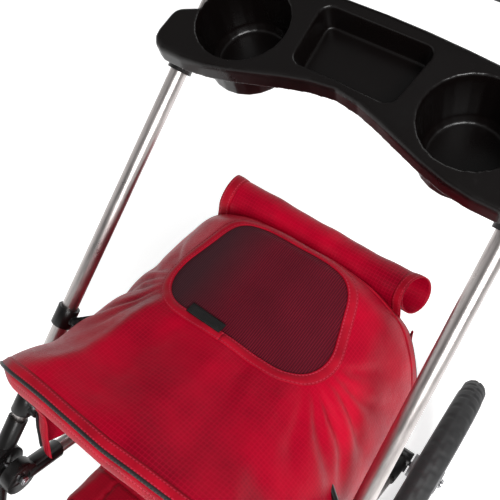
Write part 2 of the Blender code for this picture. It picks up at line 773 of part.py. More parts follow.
def fold_hoop(turn, lean, inset=0.0):
    """A hoop of the folding part: one curve, leant back about the line through its two pivots."""
    angle = math.radians(90) * turn
    pivot = bow_foot(BOW_T)
    x = (FOLD_HALF_W - inset) * math.sin(angle) ** (2 / FOLD_POWER)
    r = (FOLD_HEIGHT - inset) * math.cos(angle) ** (2 / FOLD_POWER)
    return Vector((x, pivot.y + r * math.sin(lean), pivot.z + r * math.cos(lean)))


def mirrored(half):
    """A path from the crown down the left side, completed from the right foot to the left one."""
    return [Vector((-p.x, p.y, p.z)) for p in reversed(half)] + half[1:]


def rear_bow_path():
    foot = bow_foot(CANOPY_T)
    slope = (REAR_BOW_TOP[0] - foot.y) / (REAR_BOW_TOP[1] - foot.z)
    half = [on_plane(0.072 * i, REAR_BOW_TOP, slope, CLOTH_GAP) for i in range(10)]
    return mirrored(half + [foot + Vector((0.0, 0.0045, 0.0035))])


def front_bow_path():
    foot = bow_foot(BOW_T)
    half = [fold_hoop(0.092 * i, FRONT_LEAN, CLOTH_GAP) for i in range(11)]
    return mirrored(half + [foot + Vector((-0.0060, 0.0, 0.0240)), foot + Vector((0.0, 0.0, 0.0055))])


FRONT_LEAN = math.radians(-4)
EYE_R = 0.0075
EYE_HALF_W = 0.0045
RIVET_R = 0.0028


def bows():
    """Two bows, each with an eye at both feet, and the clips on the tubes whose rivets carry them."""
    for name, path, t, clip in (
        ("rear_bow", rear_bow_path(), CANOPY_T, "canopy_clip_"),
        ("front_bow", front_bow_path(), BOW_T, "bow_pivot_"),
    ):
        bow = bent_rod(name, path, BOW_R, 1)
        eyes = []
        bores = []
        for word, side in SIDES:
            foot = bow_foot(t)
            foot.x *= side
            out = X_AXIS * side
            eyes.append(rod(name + "_eye_" + word, foot - out * EYE_HALF_W, foot + out * EYE_HALF_W, EYE_R, 20))
            bores.append(rod(name + "_eye_bore_" + word, foot - out * 0.02, foot + out * 0.02, RIVET_R + FIT))
            centre = main_point(side, t)
            direction = (main_point(side, 1.0) - main_point(side, 0.0)).normalized()
            ring = rod(clip + word, centre - direction * 0.014, centre + direction * 0.014, 0.0155)
            join(
                ring,
                rod(clip + "boss_" + word, centre, foot + out * (EYE_HALF_W + FIT), EYE_R, 20),
                rod(clip + "rivet_" + word, centre, foot - out * (EYE_HALF_W + 0.0015), RIVET_R),
            )
            cut(ring, rod(clip + "bore_" + word, centre - direction * 0.03, centre + direction * 0.03,
                          TUBE_R + FIT))
            finished(ring, PLASTIC)
        join(bow, *eyes)
        cut(bow, *bores)
        finished(bow, PLASTIC)


CLOTH = 0.0025
FOLD_REAR_LEAN = math.radians(28)
FOLD_FRONT_LEAN = math.radians(-8)
FIXED_FRONT_LEAN = math.radians(31)


def cloth_sheet(name, point, rows, turns, mat):
    """A sheet lofted through point(row, turn) on both sides, given the cloth's thickness."""
    shape = bmesh.new()
    grid = []
    for row in range(rows):
        half = [point(row, turn) for turn in turns]
        grid.append([shape.verts.new(p) for p in mirrored(half)])
    for low, high in zip(grid, grid[1:]):
        for i in range(len(low) - 1):
            shape.faces.new((low[i], low[i + 1], high[i + 1], high[i]))
    bmesh.ops.recalc_face_normals(shape, faces=shape.faces)
    mesh = bpy.data.meshes.new(name)
    shape.to_mesh(mesh)
    shape.free()
    obj = bpy.data.objects.new(name, mesh)
    placed(obj, STROLLER)
    shell = obj.modifiers.new("cloth", "SOLIDIFY")
    shell.thickness = CLOTH
    shell.offset = 0.0
    return finished(obj, mat)


def fixed_cover_point(row, turn):
    """Rows run forward through the stations to an edge that leans back over the folding part."""
    if row < len(HOOD_STATIONS) - 1:
        y = HOOD_STATIONS[-1 - row][0]
        x, z = hood_section(y, turn)
        return Vector((x, y, z))
    pivot = bow_foot(BOW_T)
    return on_plane(turn, (pivot.y, pivot.z), math.tan(FIXED_FRONT_LEAN))


FOLD_ROWS = 5


def fold_cover_point(row, turn):
    return fold_hoop(turn, FOLD_REAR_LEAN + (FOLD_FRONT_LEAN - FOLD_REAR_LEAN) * row / (FOLD_ROWS - 1))


WINDOW_FRONT_Y = 0.172
WINDOW_REAR_Y = 0.321
FLAP_R = 0.0190


def window_outline(inset=0.0):
    """Plan of the mesh window: a rounded trapezium, wider in front."""
    half = [(0.0, WINDOW_FRONT_Y + inset)]
    half += arc((0.062, WINDOW_FRONT_Y + 0.046), 0.046 - inset, -85, 15, 6)
    half += arc((0.030, WINDOW_REAR_Y - 0.044), 0.044 - inset, 25, 88, 4)
    half += [(0.0, WINDOW_REAR_Y - inset)]
    return half + [(-x, y) for x, y in reversed(half) if x > 0]


def canopy():
    """The fixed cover with its window, the folding cover that nests under it, and the rolled flap."""
    side_turns = [0.0, 0.10, 0.20, 0.30, 0.40, 0.50, 0.62]
    fixed = cloth_sheet("canopy_rear_panel", fixed_cover_point, len(HOOD_STATIONS), side_turns, RED_CLOTH)
    raised = Matrix.Translation((0, 0, 0.760))
    cut(fixed, plate("window_cutter", window_outline(), 0.10, raised))
    hoop_turns = [0.0, 0.12, 0.24, 0.36, 0.48, 0.60, 0.72, 0.84]
    cloth_sheet("canopy_front_panel", fold_cover_point, FOLD_ROWS, hoop_turns, RED_CLOTH)
    mesh_sheet = cloth_sheet("window_mesh", fixed_cover_point, len(HOOD_STATIONS), side_turns, MESH_CLOTH)
    combine(mesh_sheet, plate("window_keeper", window_outline(0.0005), 0.10, raised), "INTERSECT")
    roll = Vector((0.0, HOOD_REAR_Y + 0.031, 0.7205))
    finished(rod("window_flap", roll - X_AXIS * 0.160, roll + X_AXIS * 0.160, FLAP_R), RED_CLOTH)


def build():
    main_tubes()
    side_hubs()
    fold_knobs()
    handle()
    front_fork()
    footrest()
    rear_frame()
    parking_brake()
    wheels()
    parent_tray()
    tray_clamps()
    seat()
    buckle()
    basket()
    bows()
    canopy()


build()
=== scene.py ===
"""Looks of a jogging stroller: fabric, padding, webbing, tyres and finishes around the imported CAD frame."""

import json
import math

import bmesh
import bpy
import numpy as np
from mathutils import Matrix, Vector
from mathutils.bvhtree import BVHTree


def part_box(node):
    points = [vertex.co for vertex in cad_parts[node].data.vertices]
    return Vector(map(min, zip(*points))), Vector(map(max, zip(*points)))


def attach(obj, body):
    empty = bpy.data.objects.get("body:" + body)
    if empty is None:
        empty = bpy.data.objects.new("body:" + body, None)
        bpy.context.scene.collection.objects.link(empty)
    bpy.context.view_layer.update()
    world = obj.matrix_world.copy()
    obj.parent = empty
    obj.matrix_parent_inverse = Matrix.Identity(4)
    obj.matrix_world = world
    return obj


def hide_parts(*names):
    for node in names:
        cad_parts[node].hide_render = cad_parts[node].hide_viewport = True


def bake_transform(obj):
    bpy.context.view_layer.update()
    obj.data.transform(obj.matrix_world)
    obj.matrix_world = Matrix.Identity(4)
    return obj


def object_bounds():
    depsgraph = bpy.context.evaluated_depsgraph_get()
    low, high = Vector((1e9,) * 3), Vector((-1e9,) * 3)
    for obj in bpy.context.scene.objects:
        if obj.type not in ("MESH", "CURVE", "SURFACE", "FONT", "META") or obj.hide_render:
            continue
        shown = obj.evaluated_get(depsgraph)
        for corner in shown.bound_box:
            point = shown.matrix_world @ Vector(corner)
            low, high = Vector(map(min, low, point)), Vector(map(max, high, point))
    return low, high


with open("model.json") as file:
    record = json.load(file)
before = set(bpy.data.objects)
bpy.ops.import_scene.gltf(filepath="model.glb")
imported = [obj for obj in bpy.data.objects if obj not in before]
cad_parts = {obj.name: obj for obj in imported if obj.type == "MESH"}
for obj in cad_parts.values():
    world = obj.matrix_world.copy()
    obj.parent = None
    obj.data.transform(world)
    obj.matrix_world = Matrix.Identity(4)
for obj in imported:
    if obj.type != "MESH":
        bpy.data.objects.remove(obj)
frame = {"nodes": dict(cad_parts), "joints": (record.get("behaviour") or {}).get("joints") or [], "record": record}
cad_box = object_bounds()
NODES = frame["nodes"]

CAMERA_AT = Vector((0.2609, -0.1296, 1.4612))
CAMERA_AZIMUTH = math.radians(36.65)
CAMERA_ELEVATION = math.radians(52.89)
CAMERA_LENS = 47.6


# ---------------------------------------------------------------- materials


class Finish:
    """One procedural material. Its helpers add a node and return the socket that the next one reads."""

    def __init__(self, name):
        self.mat = bpy.data.materials.new(name)
        self.mat.use_nodes = True
        self.tree = self.mat.node_tree
        self.tree.nodes.clear()
        self.bsdf = self.tree.nodes.new("ShaderNodeBsdfPrincipled")
        out = self.tree.nodes.new("ShaderNodeOutputMaterial")
        self.tree.links.new(self.bsdf.outputs[0], out.inputs["Surface"])
        self.coords = self.tree.nodes.new("ShaderNodeTexCoord")

    def add(self, kind, inputs, output=0, **props):
        node = self.tree.nodes.new(kind)
        for key, value in props.items():
            setattr(node, key, value)
        for key, value in inputs.items():
            self.put(node.inputs[key], value)
        return node.outputs[output]

    def put(self, socket, value):
        if isinstance(value, bpy.types.NodeSocket):
            self.tree.links.new(value, socket)
        else:
            socket.default_value = value

    def math(self, operation, a, b=0.5):
        return self.add("ShaderNodeMath", {0: a, 1: b}, operation=operation)

    def mix(self, share, a, b):
        return self.add("ShaderNodeMix", {0: share, 6: rgba(a), 7: rgba(b)}, 2, data_type="RGBA")

    def remap(self, value, low, high, to_low=0.0, to_high=1.0):
        return self.add("ShaderNodeMapRange", {0: value, 1: low, 2: high, 3: to_low, 4: to_high})

    def noise(self, scale, detail=3.0, roughness=0.5, vector=None):
        source = self.coords.outputs["Object"] if vector is None else vector
        inputs = {"Vector": source, "Scale": scale, "Detail": detail, "Roughness": roughness}
        return self.add("ShaderNodeTexNoise", inputs)

    def stretched(self, scale, source="Object"):
        """The chosen coordinates, scaled by a different amount along each axis."""
        return self.add("ShaderNodeVectorMath", {0: self.coords.outputs[source], 1: scale}, operation="MULTIPLY")

    def parts(self, source="UV"):
        """x, y and z of the chosen coordinates."""
        node = self.tree.nodes.new("ShaderNodeSeparateXYZ")
        self.tree.links.new(self.coords.outputs[source], node.inputs[0])
        return node.outputs

    def waves(self, value, pitch):
        """A sine from 0 to 1 that repeats every pitch metres."""
        turned = self.math("MULTIPLY", value, 2 * math.pi / pitch)
        return self.remap(self.math("SINE", turned), -1.0, 1.0)

    def finish(self, colour, roughness, height=None, depth=0.0005, strength=1.0, **settings):
        self.put(self.bsdf.inputs["Base Color"], rgba(colour))
        self.put(self.bsdf.inputs["Roughness"], roughness)
        if height is not None:
            bump = self.add("ShaderNodeBump", {"Height": height, "Strength": strength, "Distance": depth})
            self.put(self.bsdf.inputs["Normal"], bump)
        for key, value in settings.items():
            self.bsdf.inputs[key.replace("_", " ")].default_value = value
        return self.mat


def rgba(colour):
    if isinstance(colour, tuple) and len(colour) == 3:
        return (*colour, 1.0)
    return colour


RED = (0.42, 0.0001, 0.0160)
RED_DARK = (0.20, 0.0001, 0.0090)
RED_WORN = (0.60, 0.005, 0.038)
RED_GLOSS = (1.0, 0.26, 0.34, 1.0)


def woven_cloth(name, main, dark, worn, source="UV", grid=0.0046, thread=0.0011, roughness=0.43,
               sheen=0.0, gloss=RED_GLOSS):
    """Coated plain weave with a faint ripstop grid, cloudy colour and a soft sheen."""
    f = Finish(name)
    u, v, w = f.parts(source)
    warp = f.waves(u, thread)
    weft = f.waves(v, thread)
    if source == "Object":
        weft = f.math("MAXIMUM", weft, f.waves(w, thread))
    threads = f.math("MULTIPLY", warp, weft)
    line_u = f.remap(f.waves(u, grid), 0.90, 1.0)
    line_v = f.remap(f.waves(v, grid), 0.90, 1.0)
    ripstop = f.math("MAXIMUM", line_u, line_v)
    cloud = f.noise(9.0, 4.0, 0.55)
    scuff = f.noise(160.0, 6.0, 0.7)
    colour = f.mix(f.remap(cloud, 0.35, 0.68), dark, main)
    colour = f.mix(f.math("MULTIPLY", ripstop, 0.34), colour, worn)
    colour = f.mix(f.math("MULTIPLY", f.remap(scuff, 0.60, 0.80), 0.25), colour, worn)
    colour = f.mix(f.math("MULTIPLY", threads, 0.30), colour, dark)
    crumple = f.noise(26.0, 4.0, 0.5)
    height = f.math("ADD", f.math("MULTIPLY", crumple, 1.0), f.math("MULTIPLY", ripstop, 0.035))
    height = f.math("ADD", height, f.math("MULTIPLY", threads, 0.045))
    rough = f.remap(scuff, 0.3, 0.8, roughness - 0.06, roughness + 0.10)
    return f.finish(colour, rough, height, 0.0032, 0.55, Sheen_Weight=sheen, Sheen_Roughness=0.4,
                    Specular_IOR_Level=0.24, Specular_Tint=gloss)


def binding_cloth(name, main, dark, thread_colour, rows, stitch=0.0042, gloss=RED_GLOSS):
    """Folded tape with rows of stitching: u runs along it in metres, v across it from its middle."""
    f = Finish(name)
    u, v, _ = f.parts("UV")
    rib = f.waves(u, 0.0013)
    across = f.math("ABSOLUTE", v)
    seam = None
    for row in rows:
        near = f.remap(f.math("ABSOLUTE", f.math("SUBTRACT", across, row)), 0.0, 0.0011, 1.0, 0.0)
        seam = near if seam is None else f.math("MAXIMUM", seam, near)
    dash = f.remap(f.waves(u, stitch), 0.18, 0.34)
    thread = f.math("MULTIPLY", seam, dash)
    cloud = f.noise(30.0, 4.0)
    colour = f.mix(f.remap(cloud, 0.3, 0.7), dark, main)
    # painted shade: the sunken stitch groove is also painted darker
    colour = f.mix(f.math("MULTIPLY", seam, 0.45), colour, dark)
    colour = f.mix(f.math("MULTIPLY", thread, 0.85), colour, thread_colour)
    height = f.math("ADD", f.math("MULTIPLY", rib, 0.12), f.math("MULTIPLY", cloud, 0.5))
    height = f.math("SUBTRACT", height, f.math("MULTIPLY", seam, 0.9))
    height = f.math("ADD", height, f.math("MULTIPLY", thread, 1.0))
    rough = f.remap(cloud, 0.3, 0.7, 0.45, 0.62)
    return f.finish(colour, rough, height, 0.0007, 0.8, Specular_IOR_Level=0.25, Specular_Tint=gloss)


def ribbed_mesh(name):
    """Open knitted mesh: ribs along v, a hole between each pair of threads, dusty in places, with painted shade that
    turns it darker and greyer towards -x.
    """
    f = Finish(name)
    u, v, _ = f.parts("UV")
    rib = f.waves(u, 0.0029)
    cross = f.waves(v, 0.0019)
    threads = f.math("MAXIMUM", f.remap(rib, 0.45, 0.95), f.math("MULTIPLY", f.remap(cross, 0.5, 1.0), 0.45))
    cloud = f.noise(11.0, 3.0, 0.5)
    # painted shade: towards -x, the window's far side, the knit is painted darker and greyer
    side = f.remap(u, -0.085, -0.020)
    tint = f.mix(side, (0.030, 0.008, 0.012), (0.050, 0.002, 0.007))
    light = f.mix(side, (0.062, 0.016, 0.022), (0.200, 0.007, 0.022))
    colour = f.mix(f.math("MULTIPLY", threads, f.remap(cloud, 0.25, 0.75, 0.35, 1.0)), tint, light)
    height = f.math("ADD", threads, f.math("MULTIPLY", cloud, 0.6))
    return f.finish(colour, f.remap(threads, 0.0, 1.0, 0.80, 0.50), height, 0.0006, 0.9, Specular_IOR_Level=0.12)


def webbing(name, main, dark, pitch=0.0022):
    """Woven strap: herringbone ribs along u, bound edges, slightly faded."""
    f = Finish(name)
    u, v, _ = f.parts("UV")
    slant = f.math("ADD", u, f.math("MULTIPLY", f.math("ABSOLUTE", f.math("SINE", f.math("MULTIPLY", v, 520.0))), 0.0016))
    ribs = f.waves(slant, pitch)
    cloud = f.noise(60.0, 4.0)
    colour = f.mix(f.math("MULTIPLY", ribs, f.remap(cloud, 0.2, 0.8, 0.5, 1.0)), dark, main)
    height = f.math("ADD", ribs, f.math("MULTIPLY", cloud, 0.3))
    return f.finish(colour, f.remap(cloud, 0.3, 0.7, 0.55, 0.75), height, 0.0005, 0.9, Sheen_Weight=0.2)


def satin_metal(name, colour, roughness, brushed=(400.0, 40.0, 40.0)):
    """Anodised or plated metal with drawn streaks, dust and small scuffs."""
    f = Finish(name)
    streak = f.noise(1.0, 3.0, 0.6, f.stretched(brushed))
    dust = f.noise(24.0, 5.0, 0.6)
    scuff = f.noise(210.0, 6.0, 0.75)
    darker = tuple(c * 0.80 for c in colour)
    tone = f.mix(f.remap(streak, 0.35, 0.65), darker, colour)
    tone = f.mix(f.remap(scuff, 0.66, 0.82, 0.0, 0.5), tone, tuple(c * 0.6 for c in colour))
    rough = f.math("ADD", f.remap(dust, 0.3, 0.7, roughness - 0.04, roughness + 0.08),
                   f.remap(scuff, 0.6, 0.85, 0.0, 0.14))
    return f.finish(tone, rough, f.math("ADD", streak, scuff), 0.00008, 0.35, Metallic=1.0)


def moulded(name, colour, roughness=0.36, grain=1500.0, grain_depth=0.00012, specular=0.5):
    """Moulded plastic or rubber: fine grain, soft blotches and rubbed patches."""
    f = Finish(name)
    fine = f.noise(grain, 2.0, 0.5)
    blotch = f.noise(18.0, 4.0, 0.6)
    rub = f.noise(95.0, 6.0, 0.72)
    lighter = tuple(min(1.0, c * 1.7 + 0.003) for c in colour)
    tone = f.mix(f.remap(blotch, 0.35, 0.70), colour, tuple(c * 0.8 for c in colour))
    tone = f.mix(f.remap(rub, 0.62, 0.82, 0.0, 0.6), tone, lighter)
    rough = f.math("ADD", f.remap(blotch, 0.3, 0.7, roughness - 0.05, roughness + 0.06),
                   f.remap(rub, 0.55, 0.85, 0.0, 0.16))
    return f.finish(tone, rough, f.math("ADD", fine, f.math("MULTIPLY", rub, 0.6)), grain_depth, 0.5,
                    Specular_IOR_Level=specular)


MAT = {
    "red": woven_cloth("hood_cloth", RED, RED_DARK, RED_WORN),
    "red_pad": woven_cloth("pad_cloth", (0.30, 0.003, 0.014), (0.20, 0.002, 0.010), (0.38, 0.010, 0.024),
                           "Object", sheen=0.05),
    "black_cloth": woven_cloth("lining_cloth", (0.022, 0.021, 0.022), (0.012, 0.012, 0.013),
                               (0.05, 0.05, 0.052), "Object", roughness=0.62, sheen=0.06, gloss=(1.0, 1.0, 1.0, 1.0)),
    "ring": binding_cloth("window_binding", (0.40, 0.004, 0.018), (0.22, 0.002, 0.010),
                          (0.46, 0.035, 0.065), (0.0048,)),
    "hem": binding_cloth("hem_binding", (0.42, 0.004, 0.018), (0.20, 0.002, 0.009),
                         (0.50, 0.03, 0.06), (0.0040,)),
    "piping": binding_cloth("black_piping", (0.020, 0.018, 0.019), (0.010, 0.009, 0.010),
                            (0.06, 0.05, 0.05), (0.003,), gloss=(1.0, 1.0, 1.0, 1.0)),
    "mesh": ribbed_mesh("window_knit"),
    "strap": webbing("harness_webbing", (0.030, 0.029, 0.030), (0.009, 0.009, 0.010)),
    "tube": satin_metal("satin_tube", (0.60, 0.555, 0.54), 0.30),
    "steel": satin_metal("plated_steel", (0.60, 0.60, 0.62), 0.26),
    "tray": moulded("tray_plastic", (0.0026, 0.0016, 0.0015), 0.30, 1300.0, 0.00008, specular=0.30),
    "plastic": moulded("clip_plastic", (0.0050, 0.0045, 0.0045), 0.30, specular=0.34),
    "foam": moulded("grip_foam", (0.016, 0.015, 0.015), 0.72, 700.0, 0.00045),
    "tyre": moulded("tyre_rubber", (0.018, 0.018, 0.019), 0.66, 900.0, 0.0002),
    "rim": moulded("rim_plastic", (0.20, 0.20, 0.205), 0.38, 1200.0, 0.0001),
}

SLOT_FINISH = {
    "aluminium": "tube", "steel": "steel", "black_plastic": "plastic", "foam": "foam", "tyre": "tyre",
    "rim": "rim", "red_cloth": "red_pad", "mesh_cloth": "mesh", "black_cloth": "black_cloth",
}


# ---------------------------------------------------------------- mesh helpers


def new_piece(name, verts, faces, mat, uvs=None, smooth=True):
    mesh = bpy.data.meshes.new(name)
    mesh.from_pydata([tuple(v) for v in verts], [], [tuple(int(i) for i in f) for f in faces])
    if uvs is not None:
        layer = mesh.uv_layers.new(name="UVMap")
        flat = np.array(uvs, float)[[loop.vertex_index for loop in mesh.loops]]
        layer.data.foreach_set("uv", flat.ravel())
    mesh.polygons.foreach_set("use_smooth", [smooth] * len(mesh.polygons))
    mesh.update()
    obj = bpy.data.objects.new(name, mesh)
    bpy.context.scene.collection.objects.link(obj)
    obj.data.materials.append(MAT[mat])
    return obj


def grid_faces(rows, cols, wrap=False):
    """Quads over rows x cols vertices numbered row by row. wrap closes each row on itself."""
    span = cols if wrap else cols - 1
    i, j = np.meshgrid(np.arange(rows - 1), np.arange(span), indexing="ij")
    a = i * cols + j
    b = i * cols + (j + 1) % cols
    return np.stack([a, b, b + cols, a + cols], -1).reshape(-1, 4)


def thicken(obj, thickness, offset=0.0):
    shell = obj.modifiers.new("thickness", "SOLIDIFY")
    shell.thickness = thickness
    shell.offset = offset
    return shell


def apply_modifiers(obj):
    """Replaces the mesh by the one its modifiers give."""
    depsgraph = bpy.context.evaluated_depsgraph_get()
    mesh = bpy.data.meshes.new_from_object(obj.evaluated_get(depsgraph), depsgraph=depsgraph)
    old = obj.data
    obj.modifiers.clear()
    obj.data = mesh
    bpy.data.meshes.remove(old)
    return obj


# ---------------------------------------------------------------- the hood's surface

HOOD_Y = (-0.060, -0.020, 0.000, 0.050, 0.100, 0.175, 0.250, 0.318, 0.345, 0.366, 0.380)
HOOD_TOP = (0.824, 0.822, 0.819, 0.800, 0.785, 0.771, 0.777, 0.787, 0.764, 0.719, 0.690)
HOOD_ACROSS = (4.0, 4.0, 3.9, 3.0, 3.0, 2.7, 2.7, 2.65, 2.85, 3.3, 3.3)
HOOD_UP = (3.0, 3.0, 2.9, 1.95, 1.95, 1.6, 1.5, 1.5, 1.5, 1.5, 1.5)
HOOD_HALF = (0.2145, 0.2145, 0.2145, 0.2145, 0.2148, 0.2140, 0.2110, 0.2065, 0.2050, 0.2030, 0.2020)
HOOD_SIDE_Z = 0.605
SIDE_TAPER = 0.17  # how far a side leans in, per metre of drop below the hood's curve
CROWN_SHARE = 0.62  # share of the sheet's half width that is hood; the rest hangs as the side
LOW_Y = (-0.060, 0.020, 0.080, 0.150, 0.250, 0.400)
LOW_Z = (0.515, 0.485, 0.450, 0.422, 0.412, 0.412)
EDGE_SHARE = (0.0, 0.36, 0.43, 0.47, 0.54, 0.67, 1.0)
REAR_EDGE = (0.3615, 0.3600, 0.350, 0.338, 0.330, 0.323, 0.262)
FRONT_EDGE = (-0.028, -0.022, -0.016, -0.012, -0.006, 0.002, -0.026)
DENSE_Y = np.arange(-0.12, 0.46, 0.001)


def softened(x, y, values, sigma=0.006):
    """Values at y, interpolated over x and rounded off at the corners."""
    reach = np.arange(-3 * sigma, 3 * sigma + 0.0005, 0.001)
    kernel = np.exp(-0.5 * (reach / sigma) ** 2)
    line = np.convolve(np.interp(DENSE_Y, x, values), kernel / kernel.sum(), "same")
    return np.interp(y, DENSE_Y, line)


def hood_point(share, y):
    """Arrays of x, y, z. share runs from -1 at the right side's lower edge over the crown to 1."""
    top, across, up, half = (softened(HOOD_Y, y, v) for v in (HOOD_TOP, HOOD_ACROSS, HOOD_UP, HOOD_HALF))
    a = np.abs(share)
    turn = np.clip(a / CROWN_SHARE, 0, 1) ** (across / 2) * math.pi / 2
    x = half * np.sin(turn) ** (2 / across)
    z = HOOD_SIDE_Z + (top - HOOD_SIDE_Z) * np.clip(np.cos(turn), 0, 1) ** (2 / up)
    drop = np.clip((a - CROWN_SHARE) / (1 - CROWN_SHARE), 0, 1) * (HOOD_SIDE_Z - np.interp(y, LOW_Y, LOW_Z))
    x = x - SIDE_TAPER * np.maximum(drop - 0.02, 0)
    return np.stack([np.sign(share) * x, y, z - drop], -1)


def edge_at(share, values):
    """Where the hood's front or rear edge lies at a share of its half width."""
    a = np.abs(share)
    near = [np.interp(a + d, EDGE_SHARE, values) for d in (-0.04, -0.02, 0.0, 0.02, 0.04)]
    return np.mean(near, axis=0)


CREASE_FROM = (0.092, 0.205)  # the window's corner, as distance across from the crown and y
CREASES = (
    # angle from straight out to the side, half width, depth, from, to
    (-58, 7.0, 0.0042, 0.028, 0.180),
    (-38, 5.0, 0.0052, 0.026, 0.200),
    (-20, 4.5, 0.0062, 0.028, 0.210),
    (-4, 4.5, 0.0060, 0.026, 0.200),
    (14, 5.0, 0.0054, 0.026, 0.190),
    (32, 6.0, 0.0044, 0.026, 0.170),
)


def creases(across, y):
    """Depth of the folds that fan out from the window's front corners down the sides."""
    out = np.abs(across) - CREASE_FROM[0]
    along = y - CREASE_FROM[1]
    reach = np.hypot(out, along)
    angle = np.degrees(np.arctan2(along, out))
    depth = np.zeros_like(y)
    for i, (middle, width, deep, near, far) in enumerate(CREASES):
        wander = 3.0 * np.sin(reach * 38 + i * 1.9) + 2.5 * np.sign(across) * math.sin(i * 2.3)
        fold = np.exp(-(((angle - middle - wander) / width) ** 2))
        swell = np.clip((reach - near) / 0.045, 0, 1) * np.clip((far - reach) / 0.07, 0, 1)
        depth -= deep * fold * swell ** 1.5
    return depth


FOLD_LINES = (
    # across at the window's front edge, across at the hood's front edge, half width, height
    (-0.088, -0.122, 0.016, 0.0055),
    (-0.046, -0.066, 0.024, -0.0040),
    (0.004, 0.010, 0.020, 0.0022),
    (0.048, 0.060, 0.016, -0.0026),
    (0.092, 0.128, 0.015, 0.0034),
)
FOLD_TOP_Y = 0.185


def long_folds(across, y):
    """Soft folds in the front slope, from the window down to the hood's front edge."""
    down = np.clip((FOLD_TOP_Y - y) / FOLD_TOP_Y, -0.2, 1.2)
    lift = np.zeros_like(y)
    for i, (top, bottom, width, height) in enumerate(FOLD_LINES):
        middle = top + (bottom - top) * down + 0.006 * np.sin(y * 29 + i * 2.1)
        lift += height * np.exp(-(((across - middle) / (width * (0.7 + 0.5 * down))) ** 2))
    return lift * np.clip(down / 0.22, 0, 1) * np.clip((1.12 - down) / 0.22, 0, 1)


def ripples(across, y, z):
    """Slack and hand-made unevenness all over the sheet."""
    slack = 0.0011 * np.sin(across * 31 + 1.3 * np.sin(y * 17)) * np.sin(y * 23 + 0.7)
    slack += 0.0007 * np.sin(across * 67 + y * 41 + 2.0) * np.sin(y * 57 - across * 29)
    side = np.clip((HOOD_SIDE_Z + 0.02 - z) / 0.08, 0, 1)
    return slack + side * 0.0030 * np.sin(y * 74 + 5 * np.sin(z * 21) + 1.1) * np.sin(z * 15)


CROWN_COLS, SIDE_COLS, HOOD_ROWS = 96, 42, 116


def make_hood():
    """One sheet from a side's lower edge over the crown to the other, folded and creased."""
    half = np.concatenate([
        np.linspace(0, CROWN_SHARE, CROWN_COLS, endpoint=False), np.linspace(CROWN_SHARE, 1, SIDE_COLS)])
    share = np.concatenate([-half[:0:-1], half])
    rows = np.linspace(0, 1, HOOD_ROWS)[:, None]
    front, rear = edge_at(share, FRONT_EDGE), edge_at(share, REAR_EDGE)
    y = front + (rear - front) * rows
    points = hood_point(np.broadcast_to(share, y.shape), y)
    step = np.linalg.norm(np.diff(points, axis=1), axis=-1)
    across = np.concatenate([np.zeros((HOOD_ROWS, 1)), np.cumsum(step, axis=1)], axis=1)
    across -= across[:, [share.size // 2]]
    along = np.gradient(points, axis=0)
    side = np.gradient(points, axis=1)
    normal = np.cross(side, along)
    normal /= np.linalg.norm(normal, axis=-1, keepdims=True)
    lift = creases(across, y) + long_folds(across, y) + ripples(across, y, points[..., 2])
    points = points + normal * lift[..., None]
    return points, normal, np.stack([across, y], -1)


hood_grid, hood_normals, hood_plan = make_hood()
hood_cols = hood_grid.shape[1]
hood_verts, hood_uvs = hood_grid.reshape(-1, 3), hood_plan.reshape(-1, 2)
hood_faces = grid_faces(HOOD_ROWS, hood_cols)
hood_tree = BVHTree.FromPolygons([Vector(v) for v in hood_verts], [tuple(int(i) for i in f) for f in hood_faces])


def on_hood(x, y, lift=0.0):
    """The point of the hood above plan point x, y, raised by lift."""
    at, normal, _, _ = hood_tree.ray_cast(Vector((x, y, 1.0)), Vector((0, 0, -1)))
    if normal.z < 0:
        normal = -normal
    return at + normal * lift


# ---------------------------------------------------------------- the window

WINDOW_FRONT_Y = 0.170
WINDOW_REAR_Y = 0.327
WINDOW_WIDE = (0.061, 0.224, 0.054)  # front corner: x and y of its arc's centre, and its radius
WINDOW_NARROW = (0.048, 0.277, 0.050)  # rear corner
WINDOW_STEPS = 200


def smooth_loop(points, count, rounds=3):
    """A closed line through the points, resampled to count even steps and rounded a little."""
    loop = np.array(points, float)
    for _ in range(2):
        closed = np.vstack([loop, loop[:1]])
        length = np.concatenate([[0], np.cumsum(np.linalg.norm(np.diff(closed, axis=0), axis=1))])
        at = np.linspace(0, length[-1], count, endpoint=False)
        loop = np.stack([np.interp(at, length, closed[:, k]) for k in (0, 1)], -1)
        for _ in range(rounds):
            loop = (np.roll(loop, 1, 0) + 2 * loop + np.roll(loop, -1, 0)) / 4
    return loop


def window_loop():
    half = [(0.0, WINDOW_FRONT_Y)]
    for (cx, cy, r), (a, b) in ((WINDOW_WIDE, (-86, 14)), (WINDOW_NARROW, (22, 88))):
        half += [(cx + r * math.cos(math.radians(t)), cy + r * math.sin(math.radians(t)))
                 for t in np.linspace(a, b, 14)]
    half.append((0.0, WINDOW_REAR_Y))
    return smooth_loop(half + [(-x, y) for x, y in reversed(half[1:-1])], WINDOW_STEPS)


WINDOW = window_loop()
WINDOW_MIDDLE = WINDOW.mean(axis=0)


def loop_normals(loop):
    tangent = np.roll(loop, -1, 0) - np.roll(loop, 1, 0)
    tangent /= np.linalg.norm(tangent, axis=1, keepdims=True)
    return np.stack([tangent[:, 1], -tangent[:, 0]], -1)


WINDOW_OUT = loop_normals(WINDOW)
WINDOW_ALONG = np.concatenate([[0], np.cumsum(np.linalg.norm(np.diff(WINDOW, axis=0), axis=1))])


def inside_window(points, inset=0.0):
    """Which plan points lie inside the window's outline, drawn in by inset."""
    loop = WINDOW - WINDOW_OUT * inset
    x, y = points[:, 0:1], points[:, 1:2]
    x0, y0 = loop[:, 0], loop[:, 1]
    x1, y1 = np.roll(x0, -1), np.roll(y0, -1)
    crosses = (y0 > y) != (y1 > y)
    at = x0 + (y - y0) * (x1 - x0) / np.where(y1 == y0, 1e-9, y1 - y0)
    return (np.sum(crosses & (x < at), axis=1) % 2) == 1


HOLE_LAP = 0.0055  # the hole in the hood is this much larger than the outline, under the binding


